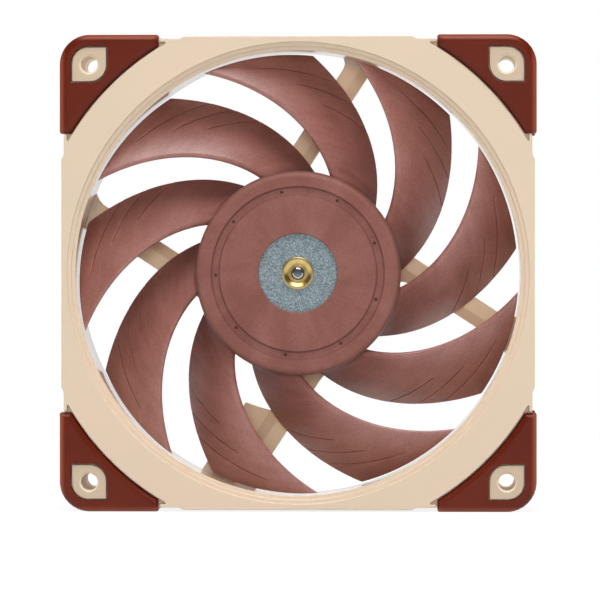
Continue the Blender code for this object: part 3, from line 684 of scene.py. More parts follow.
@dataclass(frozen=True)
class FilledPlastic(Finish):
    """Red-brown fibre-filled plastic with the faint streaks that its flow into the mould leaves; painted
    shade darkens the hub's pits, channel edges and rim, and painted bounce light makes the blades paler and
    redder.
    """

    name: str = "filled_plastic"
    dark: Colour = srgb(121, 73, 64)
    tone: Colour = srgb(135, 87, 78)
    pale: Colour = srgb(151, 103, 94)
    blade_from: tuple[float, float] = (0.0258, 0.0268)
    spiral: float = 9.0
    blade_streaks: tuple[float, float, float] = (4.0, 4.0, 700.0)
    hub_streaks: tuple[float, float, float] = (3.6, 3.6, 30.0)
    cloud_scale: float = 110.0
    speck_scale: float = 2300.0
    streak_share: float = 0.30
    cloud_share: float = 0.35
    speck_share: float = 0.35
    # Painted bounce light: the blades' tone lifted towards the pale end
    blade_light_lift: float = 0.04
    tone_range: tuple[float, float] = (0.28, 0.72)
    relief: float = 0.00003
    relief_speck: float = 0.8
    roughness: float = 0.50
    roughness_swing: float = 0.14
    specular: float = 0.15
    sheen_from: tuple[float, float] = (0.027, 0.038)
    hub_sheen: float = 0.10
    sheen_least: float = 0.2
    sheen_cloud: float = 0.6
    sheen_speck: float = 0.9
    sheen_roughness: float = 0.48
    sheen_index: float = 2.1
    # Painted bounce light: a redder, brighter tint over the coated part of the blades, which also makes up
    # for the light that the coat takes
    blade_bounce_tint: Colour = (1.14, 0.95, 0.90)
    pits: HubPits = HubPits()
    # Painted shade: a dark tone in and round the pits, also used for the painted shade lines at the channel
    # and rim
    pit_shade_edge: tuple[float, float] = (0.00036, 0.00050)
    painted_shade_tone: Colour = srgb(88, 46, 40)
    # Painted shade: dark lines along both edges of the ring channel, and a darkening of the hub's rounded rim
    creases: tuple[float, ...] = (0.01974, 0.02176)
    crease_shade_half: float = 0.00032
    crease_shade_share: float = 0.45
    rim_shade_from: tuple[float, float] = (0.0247, 0.0257)
    rim_shade_share: float = 0.40

    def paint(self, graph: Graph) -> None:
        """Fill the material's graph."""
        place = graph.place()
        across, up = graph.parts(place, "XZ")
        radius = graph.span(across, up)
        around = radius.maths("ARCTAN2", up, across)
        angle = around - radius * self.spiral
        swirl = graph.node(
            "ShaderNodeCombineXYZ",
            inputs={0: angle.maths("COSINE", angle), 1: angle.maths("SINE", angle), 2: radius},
        )
        blade = graph.noise(graph.stretched(swirl, self.blade_streaks), 1.0, detail=3.0, roughness=0.5)
        hub = graph.noise(graph.stretched(swirl, self.hub_streaks), 1.0, detail=2.0, roughness=0.5)
        on_blade = radius.between(*self.blade_from)
        bare_hub = 1.0 - on_blade
        streak = hub + (blade - hub) * on_blade
        cloud = graph.noise(place, self.cloud_scale, detail=4.0, roughness=0.6)
        speck = graph.noise(place, self.speck_scale, detail=2.0, roughness=0.7)
        tone = streak * self.streak_share + cloud * self.cloud_share + speck * self.speck_share
        # Painted bounce light lifts the blades' tone
        tone = (tone + on_blade * self.blade_light_lift).between(*self.tone_range)
        graded = graph.node(
            "ShaderNodeValToRGB",
            {"stops": [(0.0, self.dark), (0.5, self.tone), (1.0, self.pale)]},
            {0: tone},
        )
        sheen = radius.between(*self.sheen_from)
        # Painted bounce light tints the coated blades
        graded = graph.mixed(sheen, graded, graph.mixed(1.0, graded, self.blade_bounce_tint, "MULTIPLY"))
        pitch = 2 * math.pi / self.pits.count
        turns = (around - math.radians(self.pits.angle)) / pitch + 0.5
        beside = (turns - turns.maths("FLOOR", turns) - 0.5) * pitch * radius
        # Painted shade in the pits
        clear = graph.span(beside, radius - self.pits.place).between(*self.pit_shade_edge)
        # Painted shade along the channel's edges and round the hub's rim
        lines = [abs(radius - crease).between(self.crease_shade_half, 0.0) for crease in self.creases]
        painted_shading = sum(lines[1:], lines[0]) * self.crease_shade_share
        painted_shading = painted_shading + radius.between(*self.rim_shade_from) * bare_hub * self.rim_shade_share
        graded = graph.mixed(painted_shading, graded, self.painted_shade_tone)
        glaze = self.sheen_least + cloud * self.sheen_cloud + speck * self.sheen_speck
        bumps = speck * self.relief_speck + streak * (1.0 - self.relief_speck)
        graph.shade(
            Base_Color=graph.mixed(clear, self.painted_shade_tone, graded),
            Roughness=self.roughness + (speck + cloud - 1.0) * self.roughness_swing,
            Normal=graph.bump(bumps, self.relief),
            Coat_Weight=bare_hub * self.hub_sheen + sheen * glaze,
            Coat_Roughness=self.sheen_roughness,
            Coat_IOR=self.sheen_index,
            Specular_IOR_Level=self.specular,
        )


@dataclass(frozen=True)
class Silicone(Finish):
    """Dark red-brown moulded silicone, matt with a soft sheen and a painted highlight along its crowned
    edges.
    """

    name: str = "pad_silicone"
    tone: Colour = srgb(94, 27, 10)
    pale: Colour = srgb(102, 34, 16)
    # Painted highlight: a paler tone along the pads' crowned outer edges
    painted_edge_highlight: Colour = srgb(150, 70, 46)
    highlight_edge_from: tuple[float, float] = (0.0583, 0.0598)
    highlight_crown_from: tuple[float, float] = (0.0096, 0.0116)
    cloud_scale: float = 60.0
    cloud_share: float = 0.7
    tone_range: tuple[float, float] = (0.35, 0.7)
    grain_scale: float = 2200.0
    grain_depth: float = 0.000006
    roughness: float = 0.33
    roughness_swing: float = 0.2
    specular: float = 0.25

    def paint(self, graph: Graph) -> None:
        """Fill the material's graph."""
        place = graph.place()
        cloud = graph.noise(place, self.cloud_scale, detail=3.0)
        grain = graph.noise(place, self.grain_scale, detail=2.0)
        across, deep, up = [abs(part) for part in graph.parts(place, "XYZ")]
        # Painted highlight along the crowned edges
        painted_shading = across.larger(up).between(*self.highlight_edge_from) * deep.between(*self.highlight_crown_from)
        tone = cloud * self.cloud_share + grain * (1.0 - self.cloud_share)
        body = graph.mixed(tone.between(*self.tone_range), self.tone, self.pale)
        graph.shade(
            Base_Color=graph.mixed(painted_shading, body, self.painted_edge_highlight),
            Roughness=self.roughness + (grain - 0.5) * self.roughness_swing,
            Normal=graph.bump(grain, self.grain_depth),
            Specular_IOR_Level=self.specular,
        )


@dataclass(frozen=True)
class GalvanisedSheet(Finish):
    """Zinc-coated steel with a fine blue-grey spangle."""

    name: str = "galvanised_sheet"
    dark: Colour = srgb(92, 107, 115)
    tone: Colour = srgb(138, 155, 162)
    pale: Colour = srgb(190, 203, 208)
    stops: tuple[float, float, float] = (0.30, 0.48, 0.68)
    spangle_scale: float = 2200.0
    cell_ratio: float = 1.3
    spangle_share: float = 0.7
    relief: float = 0.00002
    metallic: float = 0.55
    roughness: float = 0.42
    roughness_swing: float = 0.2

    def paint(self, graph: Graph) -> None:
        """Fill the material's graph."""
        place = graph.place()
        spangle = graph.noise(place, self.spangle_scale, detail=3.0, roughness=0.7)
        cell_scale = self.spangle_scale * self.cell_ratio
        cells = graph.node("ShaderNodeTexVoronoi", inputs={"Vector": place, "Scale": cell_scale})
        speck = spangle * self.spangle_share + cells * (1.0 - self.spangle_share)
        tones = list(zip(self.stops, (self.dark, self.tone, self.pale)))
        graph.shade(
            Base_Color=graph.node("ShaderNodeValToRGB", {"stops": tones}, {0: speck}),
            Metallic=self.metallic,
            Roughness=self.roughness + speck * self.roughness_swing,
            Normal=graph.bump(speck, self.relief),
        )


@dataclass(frozen=True)
class TurnedMetal(Finish):
    """Metal with the fine rings that turning leaves round the fan's axis."""

    tone: Colour
    pale: Colour
    roughness: float
    end_tone: Colour
    end_radius: float = 0.0
    end_grind: float = 0.2
    end_blend: float = 0.0001
    ring_pitch: float = 0.00022
    ring_depth: float = 0.000003
    smudge_scale: float = 420.0
    smudge_range: tuple[float, float] = (0.3, 0.7)
    smudge_swing: float = 0.1

    def paint(self, graph: Graph) -> None:
        """Fill the material's graph."""
        place = graph.place()
        radius = graph.span(*graph.parts(place, "XZ"))
        swing = radius * (2 * math.pi / self.ring_pitch)
        rings = swing.maths("SINE", swing) * 0.5 + 0.5
        smudge = graph.noise(place, self.smudge_scale, detail=2.0)
        side = graph.mixed(smudge.between(*self.smudge_range), self.tone, self.pale)
        outside = radius.between(self.end_radius, self.end_radius + self.end_blend)
        ground = (1.0 - outside) * self.end_grind
        graph.shade(
            Base_Color=graph.mixed(outside, self.end_tone, side),
            Metallic=1.0,
            Roughness=self.roughness + (smudge - 0.5) * self.smudge_swing + ground,
            Normal=graph.bump(rings, self.ring_depth),
        )


@dataclass(frozen=True)
class PlainFinish(Finish):
    """Finish of a piece inside the motor: one tone, a paler one in patches and a grain."""

    tone: Colour
    pale: Colour
    roughness: float
    metallic: float = 0.0
    grain: tuple[float, float, float] = (1200.0, 1200.0, 1200.0)
    grain_depth: float = 0.00002
    tone_range: tuple[float, float] = (0.3, 0.7)
    roughness_swing: float = 0.2

    def paint(self, graph: Graph) -> None:
        """Fill the material's graph."""
        grain = graph.noise(graph.stretched(graph.place(), self.grain), 1.0, detail=3.0)
        graph.shade(
            Base_Color=graph.mixed(grain.between(*self.tone_range), self.tone, self.pale),
            Metallic=self.metallic,
            Roughness=self.roughness + (grain - 0.5) * self.roughness_swing,
            Normal=graph.bump(grain, self.grain_depth),
        )


def show(
    name: str,
    mesh: bpy.types.Mesh,
    look: bpy.types.Material,
    body: Body,
    node: str,
) -> bpy.types.Object:
    """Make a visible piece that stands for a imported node.

    Args:
        name: Name of the piece.
        mesh: Its mesh, lying on its back.
        look: Its material.
        body: Body that it rides on.
        node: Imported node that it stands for.

    Returns:
        The piece.
    """
    mesh.transform(STAND)
    mesh.shade_smooth()
    mesh.set_sharp_from_angle(angle=SHARP)
    weigher = linked("scratch", mesh)
    normals = weigher.modifiers.new("normals", "WEIGHTED_NORMAL")
    normals.keep_sharp = True
    final = evaluated(weigher)
    final.name = name
    final.materials.clear()
    final.materials.append(look)
    piece = linked(name, final)
    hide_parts(node)
    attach(piece, body.value)
    LOG.info("%s: %d faces on %s", name, len(final.polygons), body.value)
    return piece


@dataclass(frozen=True)
class FanSizes:
    """Sizes that several sub-assemblies share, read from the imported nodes."""

    half_width: float
    half_depth: float
    pad_end: float
    flange_back: float
    side: float
    face: float
    hub_face: float
    hub_rear: float
    tip_radius: float

    @classmethod
    def from_frame(cls) -> "FanSizes":
        """Read the sizes."""
        pad_low, pad_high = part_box("pad_front_top_right")
        frame_low, frame_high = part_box("frame")
        impeller_low, impeller_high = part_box("impeller")
        spread = [math.hypot(v.co.x, v.co.z) for v in frame["nodes"]["impeller"].data.vertices]
        return cls(
            half_width=pad_high.x,
            half_depth=-pad_low.y,
            pad_end=pad_low.x,
            flange_back=-pad_high.y,
            side=frame_high.x,
            face=-frame_low.y,
            hub_face=-impeller_low.y,
            hub_rear=-impeller_high.y,
            tip_radius=max(spread),
        )


SIZES = FanSizes.from_frame()


@dataclass
class Corners:
    """Shapes that the frame's corners and their pads share."""

    fit_gap: float = 0.0003
    arc_radius: float = 0.0669
    corner_radius: float = 0.0075
    end_round: float = 0.0006
    edge_relief: float = 0.0006
    rim_wall: float = 0.0008
    plate_depth: float = 0.0015
    pocket_depth: float = 0.0022
    pocket_tip: float = 0.0004
    hole_place: float = HOLE_PLACE
    hole_radius: float = 0.0021
    leaf_half: float = 0.0043
    leaf_round: float = 0.0041
    arc_steps: int = 36
    least_bend: float = 0.00005

    @property
    def relieved(self) -> float:
        """Half width of the frame where its edge is drawn in beside the pads."""
        return SIZES.side - self.edge_relief

    @property
    def rim_inner(self) -> float:
        """Half width inside the rim that the pads lie over."""
        return self.relieved - self.rim_wall

    @property
    def flange_corner(self) -> float:
        """Corner radius of the flange under a pad."""
        return self.corner_radius - (SIZES.half_width - self.relieved)

    @property
    def pocket_floor(self) -> float:
        """Height of the pocket's floor."""
        return SIZES.face - self.pocket_depth

    @property
    def seat_end(self) -> float:
        """Distance from the centre line to where the rim is cut down for a pad."""
        return SIZES.pad_end - self.fit_gap

    @property
    def pocket_arc(self) -> float:
        """Radius of the pocket's inner edge."""
        return self.arc_radius - self.fit_gap

    @property
    def pocket_end(self) -> float:
        """Distance from the centre line to the pocket's tip."""
        return up_to(self.pocket_arc, self.rim_inner - self.pocket_tip)

    def inner_arc(self, radius: float, end: float) -> list[Corner]:
        """Arc round the duct, from the upper leg of a corner to its side leg.

        Args:
            radius: Radius of the arc.
            end: Distance from the centre line to both of its ends.

        Returns:
            The points between its ends, none of them rounded.
        """
        swing = math.degrees(math.acos(end / radius))
        return unrounded(arc((0.0, 0.0), radius, swing, 90 - swing, self.arc_steps)[1:-1])

    def leaf(self, grow: float) -> list[Point]:
        """Outline of a screw boss, grown by a clearance."""
        half = self.leaf_half + grow
        bend = self.leaf_round + grow
        low = self.hole_place - half
        high = self.hole_place + half
        corners = [(high, low, SOFT), (high, high, bend), (low, high, SOFT), (low, low, bend)]
        return rounded(corners, steps=12)

    @staticmethod
    def square(near: float, far: float, bend: float) -> list[Point]:
        """Outline of a square in one corner of the fan, its outermost corner rounded."""
        return rounded([(near, near, 0.0), (far, near, 0.0), (far, far, bend), (near, far, 0.0)], steps=12)

    def pad(self, inset: float) -> list[Point]:
        """Outline of a pad, drawn in by an inset."""
        outer = SIZES.half_width - inset
        end = SIZES.pad_end + inset
        radius = self.arc_radius + inset
        reach = up_to(radius, end)
        bend = max(self.end_round - inset, self.least_bend)
        corners = [(outer, end, bend), (outer, outer, self.corner_radius - inset), (end, outer, bend)]
        corners += [(end, reach, bend), *self.inner_arc(radius, end), (reach, end, bend)]
        return rounded(corners, steps=10)


@dataclass
class FrameMoulding:
    """One moulding: two flanges, the duct, the struts, the cable plate and the motor base."""

    corners: Corners
    edge: float = 0.0002
    overlap: float = 0.00001
    relief_lead: float = 0.0051
    relief_slope: float = 0.0013
    side_wall: float = 0.0035
    barrel_inset: float = 0.0013
    inlet_rise: float = 0.00105
    inlet_step: float = 0.0008
    inlet_lip: float = 0.0008
    outlet_flare: float = 0.0010
    outlet_depth: float = 0.0025
    outlet_land: float = 0.0005
    step_round: float = 0.00018
    base_radius: float = 0.0255
    base_depth: float = 0.0051
    base_floor: float = 0.0019
    base_wall: float = 0.0020
    base_round: float = 0.0005
    recess_radius: float = 0.0215
    recess_depth: float = 0.0003
    strut_angle: float = 57.0
    strut_offset: float = 0.0160
    strut_width: float = 0.0063
    strut_depth: float = 0.0043
    strut_setback: float = 0.0002
    slope_width: float = 0.0027
    slope_drop: float = 0.0016
    strut_fillet: float = 0.0016
    strut_bend: float = 0.0004
    slope_bend: float = 0.0005
    plate_width: float = 0.0064
    plate_length: float = 0.0199
    plate_depth: float = 0.0020
    plate_setback: float = 0.0004
    cable_width: float = 0.0036
    cable_depth: float = 0.0025
    cable_entry: float = 0.0090
    cable_end: float = 0.0016
    hole_chamfer: float = 0.0005
    outlet_bend: float = 0.0020
    relief_bend: float = 0.0008
    seat_bend: float = 0.00025
    floor_lap: float = 0.0010
    floor_reach: float = 0.0015
    rim_lap: float = 0.0005
    boss_lap: float = 0.0006
    cut_reach: float = 0.0020
    post_radius: float = 0.0060
    post_height: float = 0.0060
    wall_lap: float = 0.0012
    plate_corner: float = 0.0012
    plate_reach: float = 0.0010
    flare_power: float = 2.5
    flare_share: float = 0.6
    strut_steps: int = 60
    plate_steps: int = 16

    @property
    def duct(self) -> float:
        """Radius of the duct."""
        return SIZES.side - self.side_wall

    @property
    def barrel_radius(self) -> float:
        """Outer radius of the duct's wall."""
        return SIZES.side - self.barrel_inset

    @property
    def inlet(self) -> float:
        """Radius of the inlet's widest step."""
        return self.duct + 2 * self.inlet_rise

    def barrel(self) -> bpy.types.Mesh:
        """Outer wall of the duct, as a solid drum that reaches into both flanges."""
        back = SIZES.flange_back
        lip = self.inlet + self.inlet_lip
        sunk = back + self.inlet_lip
        waist = back - self.inlet_lip
        profile = [(0.0, sunk), (lip, sunk), (lip, back), (self.barrel_radius, waist)]
        profile += [(radius, -height) for radius, height in reversed(profile)]
        return disc_lathe(profile, sides=192)

    def air(self) -> bpy.types.Mesh:
        """Cutter for the duct: a stepped inlet, a plain bore and a flared outlet."""
        face = SIZES.face
        reach = face + MILLIMETRE
        outlet = self.duct + self.outlet_flare
        lip = self.edge
        bend = self.step_round
        middle = self.duct + self.inlet_rise
        mouth = arc((self.inlet + lip, face - lip), lip, 90, 180, steps=5)
        tail = arc((outlet + lip, lip - face), lip, 180, 270, steps=5)
        profile = unrounded([(0.0, reach), (self.inlet + lip, reach), *mouth])
        profile += [
            (self.inlet, face - self.inlet_step, bend),
            (middle, face - self.inlet_step, bend),
            (middle, face - 2 * self.inlet_step, bend),
            (self.duct, face - 2 * self.inlet_step, bend),
            (self.duct, self.outlet_depth - face, self.outlet_bend),
            (outlet, self.outlet_land - face, SOFT),
        ]
        profile += unrounded([*tail, (outlet + lip, -reach), (0.0, -reach)])
        return disc_lathe(rounded(profile, steps=4), sides=192)

    def flange_quarter(self) -> list[Corner]:
        """One corner of a flange's face: the edge, its relief and the pocket's inner side."""
        shape = self.corners
        stepped = SIZES.pad_end - self.relief_lead
        full = stepped - self.relief_slope
        tip = shape.rim_inner - shape.pocket_tip
        leg: list[Corner] = [
            (SIZES.side, full, self.relief_bend),
            (shape.relieved, stepped, self.relief_bend),
            (shape.relieved, shape.seat_end, self.seat_bend),
            (shape.rim_inner, shape.seat_end, self.seat_bend),
            (shape.rim_inner, shape.pocket_end, SOFT),
            (tip, shape.pocket_end, SOFT),
        ]
        other = [(up, across, bend) for across, up, bend in reversed(leg)]
        return leg + shape.inner_arc(shape.pocket_arc, shape.pocket_end)[::-1] + other

    def flange(self) -> bpy.types.Mesh:
        """Front flange between the pockets, before the duct is cut."""
        outline = rounded(quarters(self.flange_quarter()), steps=5)
        return plate([outline], SIZES.flange_back, SIZES.face, self.edge)

    def corner_floor(self) -> bpy.types.Mesh:
        """Floor of the pocket in one corner."""
        shape = self.corners
        outer = shape.relieved - self.overlap
        start = shape.pocket_end - self.floor_lap
        inner = shape.pocket_arc - self.floor_reach
        reach = up_to(inner, start)
        bend = shape.flange_corner
        outline: list[Corner] = [(outer, start, 0.0), (outer, outer, bend), (start, outer, 0.0)]
        outline += [(start, reach, 0.0), *shape.inner_arc(inner, start), (reach, start, 0.0)]
        low = SIZES.flange_back + self.overlap
        return plate([rounded(outline, steps=12)], low, shape.pocket_floor, CRISP)

    def corner_rim(self) -> bpy.types.Mesh:
        """Low rim round the pocket, under the pad."""
        shape = self.corners
        outer = shape.relieved - 2 * self.overlap
        start = shape.seat_end - self.rim_lap
        bend = shape.flange_corner
        inner = shape.rim_inner + self.overlap
        outline: list[Corner] = [(outer, start, 0.0), (outer, outer, bend), (start, outer, 0.0)]
        outline += [(start, inner, 0.0), (inner, inner, bend - shape.rim_wall), (inner, start, 0.0)]
        top = SIZES.half_depth - shape.plate_depth - shape.fit_gap
        return plate([rounded(outline, steps=12)], shape.pocket_floor - self.rim_lap, top, CRISP)

    def corner_boss(self) -> bpy.types.Mesh:
        """Leaf-shaped boss round a screw hole."""
        shape = self.corners
        return plate([shape.leaf(0.0)], shape.pocket_floor - self.boss_lap, SIZES.face, self.edge)

    def screw_hole(self) -> bpy.types.Mesh:
        """Cutter for the screw holes of both flanges in one corner."""
        shape = self.corners
        reach = SIZES.face + MILLIMETRE
        mouth = shape.hole_radius + self.hole_chamfer + MILLIMETRE
        land = SIZES.face - self.hole_chamfer
        profile = [(0.0, reach), (mouth, reach), (shape.hole_radius, land)]
        profile += [(shape.hole_radius, -land), (mouth, -reach), (0.0, -reach)]
        hole = disc_lathe(profile, sides=40)
        hole.transform(Matrix.Translation((shape.hole_place, shape.hole_place, 0)))
        return hole

    def motor_base(self) -> bpy.types.Mesh:
        """Round cup behind the hub, with a shallow round recess in its rear."""
        rear = -SIZES.face
        floor = rear + self.base_floor
        top = rear + self.base_depth
        inner = self.base_radius - self.base_wall
        sunk = rear + self.recess_depth
        post = floor + self.post_height
        corners: list[Corner] = [
            (self.post_radius, floor, SOFT),
            (inner, floor, SOFT),
            (inner, top, self.edge),
            (self.base_radius, top, SOFT),
            (self.base_radius, rear, self.base_round),
            (self.recess_radius, rear, CRISP),
            (self.recess_radius - self.recess_depth / 2, sunk, CRISP),
            (0.0, sunk, 0.0),
            (0.0, post, 0.0),
            (self.post_radius, post, self.edge),
        ]
        outline = rounded(corners, steps=5)
        start = outline.index((0.0, post))
        return disc_lathe(outline[start:] + outline[:start], sides=144)

    def strut_sides(self, width: float) -> tuple[float, float]:
        """Both sides of a form of some width that lies along a strut."""
        return (self.strut_offset - width / 2, self.strut_offset + width / 2)

    def laid(self, mesh: bpy.types.Mesh, degrees: float) -> bpy.types.Mesh:
        """Lay a mesh along a strut: its X runs across the strut and its Y outwards.

        Args:
            mesh: Mesh drawn across and along the strut.
            degrees: Turn from the first strut.

        Returns:
            The mesh in its place.
        """
        return placed(mesh, turn(self.strut_angle + degrees - 90) @ Matrix.Diagonal((-1, 1, 1, 1)))

    def strut(self) -> bpy.types.Mesh:
        """One strut from the base to the duct, flared into both."""
        rear = -SIZES.face + self.strut_setback
        front = rear + self.strut_depth
        near, far = self.strut_sides(self.strut_width)
        section = rounded(
            [
                (near, rear, SOFT),
                (far, rear, SOFT),
                (far, front, self.strut_bend),
                (near + self.slope_width, front, self.slope_bend),
                (near, front - self.slope_drop, self.strut_bend),
            ],
            steps=4,
        )
        start = self.base_radius - self.base_wall / 2
        end = self.duct + self.wall_lap
        power = self.flare_power
        rings = []
        for radius in spaced(start, end, self.strut_steps):
            wall = max(0.0, 1 - (self.duct - radius) / (2 * self.strut_fillet))
            root = max(0.0, 1 - (radius - self.base_radius) / (2 * self.strut_fillet))
            bends = min(wall, 1.0) ** power + self.flare_share * min(root, 1.0) ** power
            flare = self.strut_fillet * bends
            ring: Ring = []
            for across, height in section:
                share = (across - self.strut_offset) / (self.strut_width / 2)
                wide = across + flare * share
                lift = flare * max(0.0, (height - rear) / self.strut_depth)
                ring.append((wide, up_to(radius, wide), height + self.flare_share * lift))
            rings.append(ring)
        return self.laid(loft(rings), 0)

    def cable_plate(self) -> bpy.types.Mesh:
        """Plate beside the cable strut."""
        near = self.strut_sides(self.strut_width)[0]
        lap = near + self.wall_lap
        side = near - self.plate_width
        inner = self.duct - self.plate_length
        outer = self.duct + self.plate_reach
        steps = spaced(lap, side, self.plate_steps)
        outline = unrounded([(across, up_to(inner, across)) for across in steps[:-1]])
        outline += [(side, up_to(inner, side), self.plate_corner)]
        outline += unrounded([(across, up_to(outer, across)) for across in reversed(steps)])
        low = -SIZES.face + self.strut_setback + self.plate_setback
        form = plate([rounded(outline, steps=5)], low, low + self.plate_depth, self.edge)
        return self.laid(form, 180)

    def cable_channel(self) -> bpy.types.Mesh:
        """Cutter for the channel that the cable would lie in."""
        near, far = self.strut_sides(self.cable_width)
        start = up_to(self.base_radius, self.strut_offset) - self.cable_entry
        end = SIZES.half_width + self.cut_reach
        bend = self.cable_end
        outline = [(near, start, bend), (far, start, bend), (far, end, 0.0), (near, end, 0.0)]
        low = -SIZES.face - self.cut_reach
        form = plate([rounded(outline, steps=6)], low, -SIZES.face + self.cable_depth, SOFT)
        return self.laid(form, 180)

    def build(self) -> bpy.types.Mesh:
        """Put the moulding together."""
        body = combined(self.barrel(), both_faces(self.flange()), Cut.UNION)
        for shape in (self.corner_floor(), self.corner_rim(), self.corner_boss()):
            body = combined(body, both_faces(patterned(shape, 4)), Cut.UNION)
        body = combined(body, self.air(), Cut.DIFFERENCE)
        body = combined(body, patterned(self.strut(), 4), Cut.UNION)
        body = combined(body, self.cable_plate(), Cut.UNION)
        body = combined(body, self.motor_base(), Cut.UNION)
        body = combined(body, patterned(self.screw_hole(), 4), Cut.DIFFERENCE)
        return combined(body, self.cable_channel(), Cut.DIFFERENCE)

    def dress(self, finish: MouldedPlastic) -> None:
        """Show the moulding in its finish."""
        show("frame_moulding", self.build(), finish.material(), Body.HOUSING, "frame")


@dataclass
class CornerPads:
    """Eight soft pads on the corners of the two flanges."""

    corners: Corners
    edge_round: float = 0.0018
    foot_round: float = 0.0003
    foot_share: float = 0.3
    edge_steps: int = 8
    cut_reach: float = 0.0020
    groove_lap: float = 0.0010

    def build(self) -> bpy.types.Mesh:
        """One pad: crowned edges, a skirt over the rim and an opening for the screw boss."""
        shape = self.corners
        top = SIZES.half_depth
        low = SIZES.flange_back
        heel = self.foot_round * self.foot_share
        layers = [(self.foot_round, low), (heel, low + heel), (0.0, low + self.foot_round)]
        for swing in spaced(0.0, math.pi / 2, self.edge_steps):
            inset = self.edge_round * (1 - math.cos(swing))
            layers.append((inset, top - self.edge_round * (1 - math.sin(swing))))
        pad = loft([raised(shape.pad(inset), height) for inset, height in layers])
        under = low - self.cut_reach
        leaf = plate([shape.leaf(shape.fit_gap)], under, top + self.cut_reach, CRISP)
        pad = combined(pad, leaf, Cut.DIFFERENCE)
        floor = shape.pocket_floor + shape.fit_gap
        inner = shape.relieved + shape.fit_gap
        bend = shape.flange_corner + shape.fit_gap
        near = SIZES.pad_end / 2
        room = shape.square(near, inner, bend)
        pad = combined(pad, plate([room], under, floor, CRISP), Cut.DIFFERENCE)
        core = shape.rim_inner - shape.fit_gap
        bend = shape.flange_corner - shape.rim_wall - shape.fit_gap
        hole = shape.square(near + self.cut_reach, core, bend)
        groove = plate([room, hole], floor - self.groove_lap, top - shape.plate_depth, CRISP)
        return combined(pad, groove, Cut.DIFFERENCE)

    def dress(self, finish: Silicone) -> None:
        """Show the pads in their finish."""
        pad = self.build()
        look = finish.material()
        over = Matrix.Rotation(math.pi, 4, Vector((1, 1, 0)))
        for i, place in enumerate(("top_right", "top_left", "bottom_left", "bottom_right")):
            for face, matrix in (("front", Matrix.Identity(4)), ("rear", over)):
                node = f"pad_{face}_{place}"
                mesh = placed(pad, turn(90 * i) @ matrix)
                show(f"soft_{node}", mesh, look, Body.HOUSING, node)


@dataclass(frozen=True)
class FlowChannel:
    """Shallow wedge in a blade's front: a fine groove along its inner side, and a ramp out of it."""

    point_angle: float
    point_radius: float
    inner_radius: float
    outer_radius: float
    groove_depth: float = 0.00028
    groove_half: float = 0.00017
    ramp_depth: float = 0.00016
    point_fade: float = 0.10
    edge_depth: float = 0.5
    edge_rate: float = 5.0

    def sunk(self, ring: float, angle: float) -> float:
        """Depth of the channel.

        Args:
            ring: Radius, at the trailing edge, of the line that runs along the channel.
            angle: Angle from the trailing edge.

        Returns:
            The depth there, or 0 outside the channel.
        """
        share = angle / self.point_angle
        if share >= 1.0:
            return 0.0
        beside = ring - self.inner_radius
        depth = self.groove_depth * max(0.0, 1.0 - abs(beside) / self.groove_half)
        width = (self.outer_radius - self.inner_radius) * (1.0 - share)
        if 0.0 <= beside < width:
            depth += self.ramp_depth * (1.0 - beside / width)
        inwards = self.edge_depth + self.edge_rate * max(share, 0.0)
        return depth * min(1.0, (1.0 - share) / self.point_fade, inwards)


